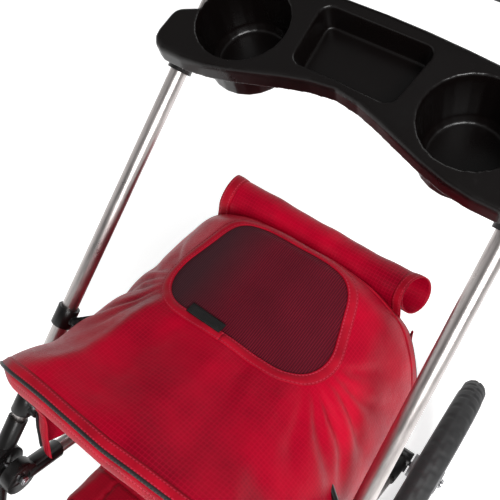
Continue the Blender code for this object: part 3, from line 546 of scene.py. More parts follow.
def hood_sheet():
    """The hood with its window cut out, its cut edge drawn onto the window's outline."""
    centres = hood_verts[hood_faces].mean(axis=1)
    high = centres[:, 2] > HOOD_SIDE_Z
    kept = ~(inside_window(centres[:, :2], -HOLE_LAP) & high)
    faces = hood_faces[kept]
    used, back = np.unique(faces, return_inverse=True)
    verts = hood_verts[used].copy()
    uvs = hood_uvs[used]
    faces = back.reshape(-1, 4)
    edge = WINDOW + WINDOW_OUT * HOLE_LAP
    for i in np.where(inside_window(verts[:, :2], -HOLE_LAP - 0.0035) & (verts[:, 2] > HOOD_SIDE_Z))[0]:
        nearest = edge[np.argmin(np.linalg.norm(edge - verts[i, :2], axis=1))]
        verts[i] = on_hood(*nearest)
    return new_piece("hood", verts, faces, "red", uvs)


def band(name, loop_offsets, mat):
    """A closed tape round the window. loop_offsets gives (distance out from the outline, height)."""
    verts, uvs = [], []
    for k in range(WINDOW_STEPS + 1):
        i = k % WINDOW_STEPS
        for out, lift in loop_offsets:
            p = WINDOW[i] + WINDOW_OUT[i] * (RING_MIDDLE + out)
            verts.append(on_hood(p[0], p[1], lift))
            uvs.append((WINDOW_ALONG[i] if k < WINDOW_STEPS else WINDOW_ALONG[-1] + 0.002, out))
    return new_piece(name, verts, grid_faces(WINDOW_STEPS + 1, len(loop_offsets)), mat, uvs)


RING_MIDDLE = 0.0066  # how far outside the window's outline the middle of its binding runs
RING_PROFILE = (
    (-0.0070, -0.0006), (-0.0068, 0.0008), (-0.0060, 0.0018), (-0.0048, 0.0011), (-0.0036, 0.0019),
    (-0.0013, 0.0024), (0.0013, 0.0024), (0.0036, 0.0019), (0.0048, 0.0011), (0.0060, 0.0018),
    (0.0068, 0.0008), (0.0070, -0.0004),
)


def window_knit():
    """The mesh panel, held under the binding and slightly slack in the middle."""
    rings = np.linspace(0.0, 1.0, 34)
    verts, uvs = [], []
    for ring in rings:
        for i in range(WINDOW_STEPS):
            edge = WINDOW[i] + WINDOW_OUT[i] * 0.009
            p = WINDOW_MIDDLE + (edge - WINDOW_MIDDLE) * max(ring, 0.004)
            slack = -0.0008 - 0.0022 * (1 - ring ** 2)
            verts.append(on_hood(p[0], p[1], slack))
            uvs.append((p[0], p[1]))
    return new_piece("window_panel", verts, grid_faces(len(rings), WINDOW_STEPS, True), "mesh", uvs)


TAB_AT = (-0.031, 0.1735)  # middle of the hook-and-loop tab on the window's front edge
TAB_SIZE = (0.052, 0.0145)


def window_tab():
    """A short black hook-and-loop tab sewn over the binding."""
    cols, rows = 30, 11
    turn = math.radians(-2.5)
    verts, uvs = [], []
    for j in range(rows):
        for i in range(cols):
            u, v = 2 * i / (cols - 1) - 1, 2 * j / (rows - 1) - 1
            x, y = u * TAB_SIZE[0] / 2, v * TAB_SIZE[1] / 2
            px = TAB_AT[0] + x * math.cos(turn) - y * math.sin(turn)
            py = TAB_AT[1] + x * math.sin(turn) + y * math.cos(turn)
            lift = 0.0034 - 0.0012 * max(u ** 8, v ** 8)
            verts.append(on_hood(px, py, lift))
            uvs.append((x, y))
    tab = new_piece("window_tab", verts, grid_faces(rows, cols), "hook", uvs)
    thicken(tab, 0.0011)
    return tab


def hook_tape(name):
    f = Finish(name)
    pile = f.noise(1100.0, 3.0, 0.7)
    cloud = f.noise(70.0, 3.0)
    u, v, _ = f.parts("UV")
    rows = f.waves(v, 0.0016)
    colour = f.mix(f.remap(f.math("MULTIPLY", pile, rows), 0.1, 0.6), (0.006, 0.006, 0.006), (0.028, 0.026, 0.026))
    colour = f.mix(f.remap(cloud, 0.55, 0.75, 0.0, 0.4), colour, (0.05, 0.045, 0.045))
    return f.finish(colour, 0.85, f.math("ADD", pile, rows), 0.0006, 0.9, Specular_IOR_Level=0.15)


MAT["hook"] = hook_tape("hook_and_loop")


def on_the_hood(obj):
    """Bakes the piece's placement into its mesh."""
    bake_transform(obj)


def edge_tape(name, rows, lifts, mat):
    """Tape sewn along the hood's front or rear edge, over the given rows of its grid."""
    verts = np.concatenate([hood_grid[row] + hood_normals[row] * lift for row, lift in zip(rows, lifts)])
    middle = np.mean([hood_plan[row, :, 1] for row in rows], axis=0)
    uvs = np.concatenate([np.stack([hood_plan[row, :, 0], hood_plan[row, :, 1] - middle], -1) for row in rows])
    tape = new_piece(name, verts, grid_faces(len(rows), hood_cols), mat, uvs)
    thicken(tape, 0.0007)
    apply_modifiers(tape)
    on_the_hood(tape)
    return tape


def sweep(name, path, radius, sides, mat, closed=False):
    """A round cord of cloth or tube along the path, with capped ends."""
    path = np.array(path, float)
    count = len(path)
    tangent = np.roll(path, -1, 0) - np.roll(path, 1, 0) if closed else np.gradient(path, axis=0)
    tangent /= np.linalg.norm(tangent, axis=1, keepdims=True)
    side = np.cross(tangent[0], (0.31, 0.52, 0.79))
    verts, uvs, length = [], [], 0.0
    for i in range(count):
        side = side - tangent[i] * np.dot(side, tangent[i])
        side /= np.linalg.norm(side)
        up = np.cross(tangent[i], side)
        length += np.linalg.norm(path[i] - path[i - 1]) if i else 0.0
        for k in range(sides):
            a = 2 * math.pi * k / sides
            verts.append(path[i] + (side * math.cos(a) + up * math.sin(a)) * radius)
            uvs.append((length, radius * a))
    faces = [tuple(f) for f in grid_faces(count, sides, True)]
    if closed:
        last = (count - 1) * sides
        faces += [(last + k, last + (k + 1) % sides, (k + 1) % sides, k) for k in range(sides)]
    else:
        faces += [tuple(range(sides))[::-1], tuple((count - 1) * sides + k for k in range(sides))]
    return new_piece(name, verts, faces, mat, uvs)


def edge_piping(name, row, radius, mat):
    cord = sweep(name, hood_grid[row] + hood_normals[row] * radius * 0.4, radius, 10, mat)
    on_the_hood(cord)
    return cord


def front_facing():
    """A short red strip that turns in from the hood's front edge, below the piping."""
    steps = np.linspace(0.0, 1.0, 6)
    edge, normal = hood_grid[0], hood_normals[0]
    rows = [edge - normal * (0.003 + 0.026 * t) + np.array((0.0, -0.0055, 0.0)) * math.sin(t * 2.2) for t in steps]
    across = hood_plan[0, :, 0]
    uvs = np.concatenate([np.stack([across, np.full_like(across, 0.020 * t - 0.010)], -1) for t in steps])
    strip = new_piece("front_facing", np.concatenate(rows), grid_faces(len(steps), hood_cols), "hem", uvs)
    thicken(strip, 0.0009)
    apply_modifiers(strip)
    on_the_hood(strip)
    return strip


hood = hood_sheet()
thicken(hood, 0.0010)
ring = band("window_binding", RING_PROFILE, "ring")
thicken(ring, 0.0006, -1.0)
knit = window_knit()
thicken(knit, 0.0006)
tab = window_tab()
for piece in (hood, ring, knit, tab):
    apply_modifiers(piece)
    on_the_hood(piece)
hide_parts("canopy_rear_panel", "canopy_front_panel", "seat_side_left", "seat_side_right")
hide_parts("window_mesh")
tapes = [
    edge_tape("rear_binding", (-6, -5, -4, -3, -2, -1), (0.0006, 0.0014, 0.0012, 0.0012, 0.0016, 0.0010), "hem"),
    edge_tape("front_binding", (0, 1, 2, 3, 4), (0.0010, 0.0014, 0.0013, 0.0014, 0.0006), "hem"),
    front_facing(),
]
pipings = [edge_piping("front_piping", 0, 0.0021, "piping"), edge_piping("rear_piping", -1, 0.0013, "piping")]


# ---------------------------------------------------------------- the rolled flap

ROLL_AXIS = (0.3885, 0.7235)  # y and z
ROLL_HALF = 0.164
ROLL_OUTER = 0.0280
ROLL_INNER = 0.0205
ROLL_TURNS = 1.30
ROLL_START = math.radians(212)  # where the flap first lies on the roll, from level at the back
ROLL_FACING = math.radians(125)  # the side of the roll that is cut back furthest at its ends
ROLL_CUTS = (0.026, 0.007)  # how far it is cut back there, at the left end and the right
ROLL_JOIN = 0.07  # the share of the flap that runs from the hood's edge to the roll


def rolled_flap():
    """The window's flap: from the hood's rear edge it goes over the top of the roll and round inside it."""
    turns, cols = 150, 84
    half = hood_cols // 2
    edge_row = hood_grid[-2]
    order = np.argsort(edge_row[:, 0])
    verts, uvs = [], []
    length = 0.0
    last = None
    for i in range(turns):
        share = i / (turns - 1)
        angle = ROLL_START - share * ROLL_TURNS * 2 * math.pi
        radius = ROLL_OUTER + (ROLL_INNER - ROLL_OUTER) * share
        here = Vector((radius * math.cos(angle), radius * math.sin(angle)))
        if last is not None:
            length += (here - last).length
        last = here
        cut_back = 0.5 + 0.5 * math.cos(angle - ROLL_FACING)
        join = min(share / ROLL_JOIN, 1.0)
        join = join * join * (3 - 2 * join)
        for j in range(cols):
            side = 2 * j / (cols - 1) - 1
            end = abs(side)
            x = side * (ROLL_HALF - cut_back * ROLL_CUTS[side < 0] * end ** 2)
            flare = 1.0 + 0.05 * end ** 6 + 0.022 * math.sin(x * 61 + angle * 0.8) + 0.012 * math.sin(x * 133)
            sag = -0.0020 * math.sin(x * 17 + 0.5)
            hem = 0.0006 * (end > 0.93)
            y = ROLL_AXIS[0] + here.x * flare * 1.04
            z = ROLL_AXIS[1] + here.y * (flare + hem / radius) * 0.95 + sag
            if join < 1.0:
                edge_y = np.interp(x, edge_row[order, 0], edge_row[order, 1])
                edge_z = max(np.interp(x, edge_row[order, 0], edge_row[order, 2]), ROLL_AXIS[1] - ROLL_OUTER)
                y, z = y * join + edge_y * (1 - join), z * join + edge_z * (1 - join)
            verts.append((x, y, z))
            uvs.append((x, length))
    roll = new_piece("window_flap_roll", verts, grid_faces(turns, cols), "red", uvs)
    thicken(roll, 0.0009)
    apply_modifiers(roll)
    hems = [flap_hem(word, verts, cols, column) for word, column in (("left", -1), ("right", 0))]
    for piece in (roll, *hems):
        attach(piece, "root")
    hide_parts("window_flap")


def flap_hem(word, verts, cols, column):
    """The stitched hem round one open end of the roll."""
    grid = np.array(verts).reshape(-1, cols, 3)
    inner = 5 if column == 0 else cols - 6
    end = 0 if column == 0 else cols - 1
    outer_turn = int(grid.shape[0] / ROLL_TURNS)
    axis = np.array((0.0, *ROLL_AXIS))
    rows = []
    for share in (0.0, 0.15, 0.5, 0.85, 1.0):
        ring = grid[:outer_turn, end] * (1 - share) + grid[:outer_turn, inner] * share
        away = ring - axis
        away[:, 0] = 0
        away /= np.linalg.norm(away, axis=1, keepdims=True)
        rows.append(ring + away * (0.0008 + 0.0007 * math.sin(share * math.pi)))
    length = np.linspace(0, 0.165, outer_turn)
    uvs = np.concatenate([np.stack([length, np.full(outer_turn, (k - 2) * 0.0045)], -1) for k in range(5)])
    hem = new_piece("flap_hem_" + word, np.concatenate(rows), grid_faces(5, outer_turn), "hem", uvs)
    thicken(hem, 0.0006)
    return apply_modifiers(hem)


rolled_flap()


# ---------------------------------------------------------------- the tray


def smooth_copy(name, node, voxel, rounds, mat):
    """A rounded, finer copy of a CAD node."""
    mesh = NODES[node].data.copy()
    obj = bpy.data.objects.new(name, mesh)
    bpy.context.scene.collection.objects.link(obj)
    weld = obj.modifiers.new("weld", "WELD")
    weld.merge_threshold = 0.00002
    remesh = obj.modifiers.new("remesh", "REMESH")
    remesh.mode = "VOXEL"
    remesh.voxel_size = voxel
    soft = obj.modifiers.new("soften", "SMOOTH")
    soft.factor = 0.5
    soft.iterations = rounds
    apply_modifiers(obj)
    obj.data.materials.clear()
    obj.data.materials.append(MAT[mat])
    obj.data.polygons.foreach_set("use_smooth", [True] * len(obj.data.polygons))
    return obj


tray = smooth_copy("tray_shell", "parent_tray", 0.0014, 9, "tray")
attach(tray, "root")
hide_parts("parent_tray")


# ---------------------------------------------------------------- padded seat

PAD_VOXEL = 0.0055
PAD_INSET = 0.0030  # the pads swell, so each starts this much smaller than its CAD solid
PAD_CAP = 0.0060  # the furthest that a point may swell
PAD_FRAMES = 18
SEAT_CENTRE = (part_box("seat_base")[0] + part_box("seat_base")[1]) / 2
SEAT_TILT = math.radians(-7)
HINGE = Vector(next(j["pos_m"] for j in frame["joints"] if j["name"] == "backrest_recline"))
BACK_ANGLE = math.radians(63.8)
BACK_UP = Vector((0, math.cos(BACK_ANGLE), math.sin(BACK_ANGLE)))
BACK_OUT = Vector((0, -math.sin(BACK_ANGLE), math.cos(BACK_ANGLE)))
SEAT_UP = Vector((0, math.cos(SEAT_TILT), math.sin(SEAT_TILT)))
SEAT_OUT = Vector((0, -math.sin(SEAT_TILT), math.cos(SEAT_TILT)))


def coordinates(mesh):
    flat = np.empty(len(mesh.vertices) * 3)
    mesh.vertices.foreach_get("co", flat)
    return flat.reshape(-1, 3)


def vertex_normals(mesh):
    flat = np.empty(len(mesh.vertices) * 3)
    mesh.vertices.foreach_get("normal", flat)
    return flat.reshape(-1, 3)


def swell(obj):
    """Blows the piece up like stuffed cloth and limits how far each point moves."""
    rest = coordinates(obj.data)
    cloth = obj.modifiers.new("cloth", "CLOTH")
    cloth.settings.quality = 4
    cloth.settings.use_pressure = True
    cloth.settings.uniform_pressure_force = 4.0
    cloth.settings.tension_stiffness = 12
    cloth.settings.bending_stiffness = 0.4
    cloth.settings.effector_weights.gravity = 0.0
    cloth.point_cache.frame_start, cloth.point_cache.frame_end = 1, PAD_FRAMES
    for step in range(1, PAD_FRAMES + 1):
        bpy.context.scene.frame_set(step)
    apply_modifiers(obj)
    moved = coordinates(obj.data) - rest
    far = np.linalg.norm(moved, axis=1, keepdims=True)
    limited = rest + moved * np.minimum(1.0, PAD_CAP / np.maximum(far, 1e-9))
    obj.data.vertices.foreach_set("co", limited.ravel())
    bpy.context.scene.frame_set(1)


def pad(name, node, body, mat, out, up, channels, side_seams=(), depth=0.0042):
    """A quilted pad in the place of a CAD solid. channels are sewn across it, side_seams along it."""
    obj = smooth_copy(name, node, PAD_VOXEL, 4, mat)
    shrunk = coordinates(obj.data) - vertex_normals(obj.data) * PAD_INSET
    obj.data.vertices.foreach_set("co", shrunk.ravel())
    obj.data.update()
    swell(obj)
    finer = obj.modifiers.new("finer", "SUBSURF")
    finer.levels = finer.render_levels = 1
    apply_modifiers(obj)
    points = coordinates(obj.data)
    low, high = points.min(axis=0), points.max(axis=0)
    middle = (low + high) / 2
    along = (points - middle) @ np.array(up)
    thick = (points - middle) @ np.array(out)
    reach = (along.min(), along.max())
    groove = np.zeros(len(points))
    for share in channels:
        at = reach[0] + (reach[1] - reach[0]) * share
        groove = np.maximum(groove, np.exp(-(((along - at) / 0.0036) ** 2)))
    half = (high[0] - low[0]) / 2
    for share in side_seams:
        groove = np.maximum(groove, np.exp(-(((np.abs(points[:, 0]) - share * half) / 0.0036) ** 2)))
    pucker = 1.0 + 0.30 * np.sin(points[:, 0] * 420) * np.sin(along * 380)
    points -= np.outer(np.sign(thick) * groove * pucker * np.minimum(depth, np.abs(thick) * 0.75), np.array(out))
    obj.data.vertices.foreach_set("co", points.ravel())
    obj.data.polygons.foreach_set("use_smooth", [True] * len(obj.data.polygons))
    obj.data.update()
    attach(obj, body)
    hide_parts(node)
    return obj


seat = pad("seat_pad", "seat_base", "root", "red_pad", SEAT_OUT, SEAT_UP, (0.30, 0.62), (0.70,))
back = pad("back_pad", "backrest_pad", "backrest", "red_pad", BACK_OUT, BACK_UP, (0.22, 0.44, 0.66, 0.88), (0.70,))
legs = pad("leg_pad", "leg_panel", "root", "red_pad", Vector((0, -1, 0)), Vector((0, 0, 1)), (0.34, 0.67), (),
           0.0020)


# ---------------------------------------------------------------- harness


def smooth_path(points, count):
    """Catmull-Rom curve through the points, in count even steps."""
    p = np.array([tuple(q) for q in points], float)
    p = np.vstack([2 * p[0] - p[1], p, 2 * p[-1] - p[-2]])
    dense = []
    for a, b, c, d in zip(p[:-3], p[1:-2], p[2:-1], p[3:]):
        for t in np.linspace(0, 1, 24, endpoint=False):
            dense.append(0.5 * (2 * b + (c - a) * t + (2 * a - 5 * b + 4 * c - d) * t ** 2
                                + (3 * b - a - 3 * c + d) * t ** 3))
    dense = np.array(dense + [p[-2]])
    length = np.concatenate([[0], np.cumsum(np.linalg.norm(np.diff(dense, axis=0), axis=1))])
    at = np.linspace(0, length[-1], count)
    return np.stack([np.interp(at, length, dense[:, k]) for k in range(3)], -1), length[-1]


def strap(name, points, across, width, mat="strap", thickness=0.0014, count=60):
    """Flat webbing along the points. across is its width's direction at each point."""
    path, length = smooth_path(points, count)
    sides = np.stack([
        np.interp(np.linspace(0, 1, count), np.linspace(0, 1, len(across)), [a[k] for a in across])
        for k in range(3)], -1)
    sides /= np.linalg.norm(sides, axis=1, keepdims=True)
    shares = np.array((-1.0, -0.92, -0.5, 0.0, 0.5, 0.92, 1.0))
    verts = (path[:, None, :] + sides[:, None, :] * (shares * width / 2)[None, :, None]).reshape(-1, 3)
    u = np.linspace(0, length, count)
    uvs = np.stack(np.broadcast_arrays(u[:, None], (shares * width / 2)[None, :]), -1).reshape(-1, 2)
    obj = new_piece(name, verts, grid_faces(count, len(shares)), mat, uvs)
    thicken(obj, thickness)
    apply_modifiers(obj)
    return obj


def on_seat(x, back_from_middle, lift):
    return SEAT_CENTRE + Vector((x, 0, 0)) + SEAT_UP * back_from_middle + SEAT_OUT * lift


def on_back(x, up, lift):
    return HINGE + Vector((x, 0, 0)) + BACK_UP * up + BACK_OUT * lift


X = Vector((1, 0, 0))
BACK_FACE = 0.0335  # from the backrest's hinge line out to the pad's face
SEAT_FACE = 0.0175
BUCKLE = (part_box("harness_buckle")[0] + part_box("harness_buckle")[1]) / 2


def harness():
    made = []
    for word, side in (("left", 1), ("right", -1)):
        shoulder = strap(
            "shoulder_strap_" + word,
            [on_back(side * 0.062, 0.290, 0.020), on_back(side * 0.061, 0.284, BACK_FACE + 0.001),
             on_back(side * 0.058, 0.250, BACK_FACE + 0.004), on_back(side * 0.050, 0.160, BACK_FACE + 0.006),
             on_back(side * 0.036, 0.085, BACK_FACE + 0.010),
             BUCKLE + Vector((side * 0.020, 0.030, 0.030)), BUCKLE + Vector((side * 0.015, 0.004, 0.013))],
            [X, X, X, X, X, X + Vector((0, 0.1 * side, 0)), X], 0.024)
        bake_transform(shoulder)
        sleeve = strap(
            "shoulder_pad_" + word,
            [on_back(side * 0.0585, 0.262, BACK_FACE + 0.0065), on_back(side * 0.0555, 0.215, BACK_FACE + 0.0090),
             on_back(side * 0.0505, 0.165, BACK_FACE + 0.0100), on_back(side * 0.0440, 0.130, BACK_FACE + 0.0115)],
            [X, X, X, X], 0.040, "black_cloth", 0.0052)
        soft = sleeve.modifiers.new("soft", "SUBSURF")
        soft.levels = soft.render_levels = 2
        apply_modifiers(sleeve)
        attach(sleeve, "backrest")
        lap = strap(
            "lap_strap_" + word,
            [on_seat(side * 0.150, 0.085, SEAT_FACE - 0.003), on_seat(side * 0.120, 0.066, SEAT_FACE + 0.0030),
             on_seat(side * 0.070, 0.032, SEAT_FACE + 0.0060), BUCKLE + Vector((side * 0.022, 0.0, -0.004))],
            [SEAT_UP, SEAT_UP, SEAT_UP + SEAT_OUT * 0.4, Vector((0, 0.25, 1))], 0.024)
        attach(lap, "root")
        made += [shoulder, lap]
    crotch = strap(
        "crotch_strap",
        [on_seat(0, -0.060, SEAT_FACE - 0.002), on_seat(0, -0.040, SEAT_FACE + 0.0025),
         on_seat(0, -0.012, SEAT_FACE + 0.0050), BUCKLE + Vector((0, -0.0025, -0.012))],
        [X, X, X, X], 0.030)
    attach(crotch, "root")
    return made + [crotch]


harness()


def join_cloth(name, lines, mat, body=None):
    """A plain sheet of seat cloth lofted through the lines, each a list of points of equal number."""
    rows = [smooth_path(line, 24)[0] for line in lines]
    stack = np.stack([smooth_path([row[k] for row in rows], 28)[0] for k in range(24)], 1)
    obj = new_piece(name, stack.reshape(-1, 3), grid_faces(28, 24), mat)
    thicken(obj, 0.0012)
    apply_modifiers(obj)
    if body:
        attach(obj, body)
    return obj


def across_line(point, half, dip=0.0):
    return [point + Vector((x * half, 0, -dip * (1 - x * x))) for x in (-1.0, -0.5, 0.0, 0.5, 1.0)]


SEAT_HALF_W = (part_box("seat_base")[1].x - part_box("seat_base")[0].x) / 2
SEAT_HALF_L = 0.131
LEG_LOW, LEG_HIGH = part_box("leg_panel")
LEG_HALF_W = (LEG_HIGH.x - LEG_LOW.x) / 2


def seat_joins():
    """The cloth that carries on from pad to pad: over the seat's front edge and into the backrest's crease."""
    front = SEAT_CENTRE - SEAT_UP * SEAT_HALF_L
    join_cloth("seat_front_fold", [
        across_line(front + SEAT_UP * 0.016 + SEAT_OUT * 0.0145, LEG_HALF_W + 0.010),
        across_line(front - SEAT_UP * 0.001 + SEAT_OUT * 0.0115, LEG_HALF_W + 0.008),
        across_line(front - SEAT_UP * 0.010 - SEAT_OUT * 0.004, LEG_HALF_W + 0.005),
        across_line(Vector((0, LEG_LOW.y - 0.0015, LEG_HIGH.z - 0.004)), LEG_HALF_W + 0.002),
        across_line(Vector((0, LEG_LOW.y - 0.0005, LEG_HIGH.z - 0.016)), LEG_HALF_W),
    ], "red_pad", "root")
    crease = join_cloth("seat_crease", [
        across_line(SEAT_CENTRE + SEAT_UP * (SEAT_HALF_L - 0.012) + SEAT_OUT * 0.0135, 0.150),
        across_line(SEAT_CENTRE + SEAT_UP * (SEAT_HALF_L + 0.010) + SEAT_OUT * 0.0080, 0.150),
        across_line(HINGE + BACK_UP * 0.024 + BACK_OUT * 0.022, 0.150),
        across_line(HINGE + BACK_UP * 0.040 + BACK_OUT * 0.030, 0.150),
    ], "red_pad")
    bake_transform(crease)


WING_Z = (0.685, 0.640, 0.580, 0.520, 0.460, 0.425)
WING_IN_X = 0.1665  # the wings stop just outside the backrest


def side_wings():
    """Cloth that turns in from each side's rear edge towards the backrest."""
    half = hood_cols // 2
    for word, side in (("left", 1), ("right", -1)):
        edge = hood_grid[-2, half:] if side > 0 else hood_grid[-2, half::-1]
        order = np.argsort(edge[:, 2])
        lines = []
        for z in WING_Z:
            x, y = (np.interp(z, edge[order, 2], edge[order, k]) for k in (0, 1))
            inner = Vector((side * WING_IN_X, HINGE.y + (z - HINGE.z) / math.tan(BACK_ANGLE) + 0.004, z))
            outer = Vector((x - side * 0.0012, y, z))
            mid = (inner + outer) / 2 + Vector((0, 0.007, 0))
            lines.append([outer, mid, inner])
        wing = join_cloth("side_wing_" + word, lines, "red_pad")
        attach(wing, "root")


seat_joins()
side_wings()


# ---------------------------------------------------------------- basket

BASKET_LOW, BASKET_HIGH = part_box("basket")
BASKET_MIDDLE = (BASKET_LOW + BASKET_HIGH) / 2
BASKET_HALF = (BASKET_HIGH - BASKET_LOW) / 2


def basket_ring(share, count):
    """A level of the basket: share 0 is the rim and 1 the floor's edge."""
    a = np.linspace(0, 2 * math.pi, count, endpoint=False)
    square = 2.0 / 9.0
    narrow = 1.0 - 0.13 * share ** 1.5
    x = np.sign(np.cos(a)) * np.abs(np.cos(a)) ** square
    y = np.sign(np.sin(a)) * np.abs(np.sin(a)) ** square
    corner = np.minimum(np.abs(x), np.abs(y)) ** 6
    sag = (1 - corner) * 0.014 * (1 - share) ** 2
    bulge = 1.0 + 0.02 * math.sin(share * math.pi) * (1 - corner)
    slack = 0.0012 * np.sin(a * 14 + share * 9) * math.sin(share * math.pi)
    px = BASKET_MIDDLE.x + x * (BASKET_HALF.x - 0.002) * narrow * bulge + slack
    py = BASKET_MIDDLE.y + y * (BASKET_HALF.y - 0.002) * narrow * bulge + slack
    pz = BASKET_HIGH.z - 0.001 - sag - share * (2 * BASKET_HALF.z - 0.012)
    return np.stack([px, py, pz], -1)


def make_basket():
    count = 168
    levels = list(np.linspace(0, 1, 26) ** 0.9)
    rows = [basket_ring(share, count) for share in levels]
    last = rows[-1]
    centre = last.mean(axis=0)
    for t in np.linspace(0.05, 0.985, 22):
        ring = centre + (last - centre) * (1 - t)
        ring[:, 2] -= 0.0095 * math.sin(min(t, 0.5) * math.pi) ** 0.6
        rows.append(ring)
    verts = np.concatenate(rows)
    uvs = np.concatenate([
        np.stack([np.linspace(0, 1.15, count), np.full(count, k * 0.0048)], -1) for k in range(len(rows))])
    faces = [tuple(f) for f in grid_faces(len(rows), count, True)]
    faces.append(tuple((len(rows) - 1) * count + k for k in range(count)))
    bag = new_piece("basket_bag", verts, faces, "basket_net", uvs)
    thicken(bag, 0.0012)
    apply_modifiers(bag)
    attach(bag, "root")
    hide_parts("basket")
    rim = sweep("basket_rim", basket_ring(0.0, count) + np.array((0, 0, -0.0012)), 0.0036, 12, "piping", True)
    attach(rim, "root")
    for fb, y in (("front", -0.030), ("rear", 0.165)):
        for word, side in (("left", 1), ("right", -1)):
            rim_y = BASKET_MIDDLE.y + (y - 0.0675) * 1.15
            loop = strap(
                f"basket_loop_{fb}_{word}",
                [(side * (BASKET_HALF.x + 0.0030), rim_y, BASKET_HIGH.z - 0.034),
                 (side * (BASKET_HALF.x + 0.0042), rim_y, BASKET_HIGH.z - 0.004),
                 (side * (BASKET_HALF.x - 0.002), (rim_y + y) / 2, BASKET_HIGH.z + 0.030),
                 (side * (BASKET_HALF.x - 0.012), y, SEAT_CENTRE.z + (y - SEAT_CENTRE.y) * -0.1228 - 0.0160)],
                [Vector((0, 1, 0))] * 4, 0.020, count=30)
            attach(loop, "root")


def net_cloth(name):
    f = Finish(name)
    x, y, z = f.parts("Object")
    diagonal = f.waves(f.math("ADD", f.math("ADD", x, y), z), 0.0042)
    other = f.waves(f.math("SUBTRACT", f.math("ADD", x, y), z), 0.0042)
    threads = f.math("MAXIMUM", f.remap(diagonal, 0.5, 0.9), f.remap(other, 0.5, 0.9))
    cloud = f.noise(14.0, 4.0)
    colour = f.mix(threads, (0.004, 0.004, 0.0045), (0.026, 0.025, 0.026))
    colour = f.mix(f.remap(cloud, 0.5, 0.8, 0.0, 0.4), colour, (0.045, 0.043, 0.042))
    return f.finish(colour, f.remap(cloud, 0.3, 0.7, 0.6, 0.8), f.math("ADD", threads, cloud), 0.0007, 0.8)


MAT["basket_net"] = net_cloth("basket_net")
make_basket()


# ---------------------------------------------------------------- tyres

TREAD_BLOCKS = 44


def tyre(name, node, body):
    """A round tyre with a ribbed shoulder, staggered tread blocks and a bead."""
    low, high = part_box(node)
    middle = (low + high) / 2
    outer = (high.z - low.z) / 2
    half = (high.x - low.x) / 2
    around, profile = TREAD_BLOCKS * 10, 40
    radius = half - 0.0004
    verts, uvs = [], []
    for i in range(around):
        a = 2 * math.pi * i / around
        for k in range(profile):
            b = 2 * math.pi * k / profile
            out, side = math.cos(b), math.sin(b)
            reach = radius * out if out > 0 else (radius - 0.003) * out
            stagger = 0.5 * (side > 0)
            block = (i / 10 + stagger) % 1.0
            tread = out > 0.50
            groove = 0.0016 * (tread and (block < 0.24 or abs(side) < 0.10))
            rib = 0.0004 * (0.10 < out < 0.45) * (math.sin(out * 70) > 0)
            r = outer - radius + reach - groove * out + rib
            x = side * (radius - groove * 0.4 + rib)
            verts.append((middle.x + x, middle.y + r * math.sin(a), middle.z + r * math.cos(a)))
            uvs.append((a * outer, b * radius))
    faces = [tuple(f) for f in grid_faces(around, profile, True)]
    last = (around - 1) * profile
    faces += [(last + k, last + (k + 1) % profile, (k + 1) % profile, k) for k in range(profile)]
    obj = new_piece(name, verts, faces, "tyre", uvs)
    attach(obj, body)
    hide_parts(node)


tyre("front_tyre_tread", "front_tyre", "front_wheel")
tyre("rear_left_tyre_tread", "rear_left_tyre", "rear_wheel_left")
tyre("rear_right_tyre_tread", "rear_right_tyre", "rear_wheel_right")


# ---------------------------------------------------------------- carried-over CAD nodes


def refine(node, slot_name):
    """Better finish and soft edges on a CAD node that stays as it is."""
    obj = NODES[node]
    obj.data.materials.clear()
    obj.data.materials.append(MAT[SLOT_FINISH[slot_name]])
    obj.data.polygons.foreach_set("use_smooth", [True] * len(obj.data.polygons))
    weld = obj.modifiers.new("weld", "WELD")
    weld.merge_threshold = 0.00001
    edge = obj.modifiers.new("soft_edges", "BEVEL")
    edge.width = 0.0007
    edge.segments = 2
    edge.limit_method = "ANGLE"
    edge.angle_limit = math.radians(38)
    edge.harden_normals = True


for part in frame["record"]["subparts"]:
    if not NODES[part["node"]].hide_render:
        refine(part["node"], part["material_slot"])


# ---------------------------------------------------------------- stage, light and camera


def area_light(name, at, towards, size, watts, colour=(1, 1, 1)):
    light = bpy.data.lights.new(name, "AREA")
    light.shape = "RECTANGLE"
    light.size, light.size_y = size
    light.energy = watts
    light.color = colour
    obj = bpy.data.objects.new(name, light)
    obj.location = at
    obj.rotation_euler = (Vector(towards) - Vector(at)).to_track_quat("-Z", "Y").to_euler()
    bpy.context.scene.collection.objects.link(obj)


FLOOR_GLOW = 0.56
WORLD_STOPS = ((0.0, 0.90), (0.16, 0.86), (0.30, 0.13), (0.55, 0.18), (0.95, 0.36))  # height, grey
WORLD_STRENGTH = 0.8
FLOOR_HALF = 40.0


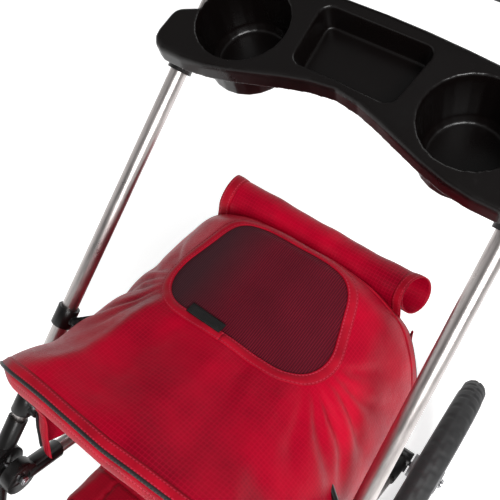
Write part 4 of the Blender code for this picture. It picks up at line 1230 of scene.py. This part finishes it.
def pale_floor():
    f = Finish("studio_floor")
    speck = f.noise(3.0, 3.0)
    colour = f.mix(f.remap(speck, 0.3, 0.7), (0.90, 0.90, 0.90), (0.93, 0.93, 0.93))
    mat = f.finish(colour, 0.85, Emission_Color=(1.0, 1.0, 1.0, 1.0), Emission_Strength=FLOOR_GLOW)
    mesh = bpy.data.meshes.new("studio_floor")
    size = FLOOR_HALF
    mesh.from_pydata([(-size, -size, 0), (size, -size, 0), (size, size, 0), (-size, size, 0)], [], [(0, 1, 2, 3)])
    mesh.materials.append(mat)
    floor = bpy.data.objects.new("studio_floor", mesh)
    bpy.context.scene.collection.objects.link(floor)
    floor.location.z = cad_box[0].z - 0.0005


def studio():
    pale_floor()
    target = (0.0, 0.1, 0.7)
    area_light("key", (1.7, -1.5, 2.9), target, (1.6, 1.3), 132)
    area_light("left_fill", (-2.4, -0.8, 2.2), target, (2.0, 2.0), 5)
    area_light("back_fill", (0.3, 2.6, 2.6), target, (2.2, 1.6), 26)
    world = bpy.data.worlds.new("studio_world")
    world.use_nodes = True
    tree = world.node_tree
    tree.nodes.clear()
    out = tree.nodes.new("ShaderNodeOutputWorld")
    back = tree.nodes.new("ShaderNodeBackground")
    ramp = tree.nodes.new("ShaderNodeValToRGB")
    coords = tree.nodes.new("ShaderNodeTexCoord")
    split = tree.nodes.new("ShaderNodeSeparateXYZ")
    stops = ramp.color_ramp.elements
    for position, grey in WORLD_STOPS[1:-1]:
        stops.new(position)
    for stop, (position, grey) in zip(stops, WORLD_STOPS):
        stop.position = position
        stop.color = (grey, grey, grey, 1)
    tree.links.new(coords.outputs["Generated"], split.inputs[0])
    tree.links.new(split.outputs[2], ramp.inputs[0])
    tree.links.new(ramp.outputs[0], back.inputs["Color"])
    back.inputs["Strength"].default_value = WORLD_STRENGTH
    tree.links.new(back.outputs[0], out.inputs["Surface"])
    bpy.context.scene.world = world


def make_camera():
    data = bpy.data.cameras.new("camera")
    data.lens = CAMERA_LENS
    data.sensor_width = 36.0
    data.clip_start = 0.02
    data.clip_end = 120.0
    camera = bpy.data.objects.new("camera", data)
    bpy.context.scene.collection.objects.link(camera)
    flat = math.cos(CAMERA_ELEVATION)
    back = Vector((math.sin(CAMERA_AZIMUTH) * flat, -math.cos(CAMERA_AZIMUTH) * flat, math.sin(CAMERA_ELEVATION)))
    camera.location = CAMERA_AT
    camera.rotation_mode = "QUATERNION"
    camera.rotation_quaternion = (-back).to_track_quat("-Z", "Y")
    bpy.context.scene.camera = camera


studio()
make_camera()
bpy.context.scene.view_settings.view_transform = "Standard"
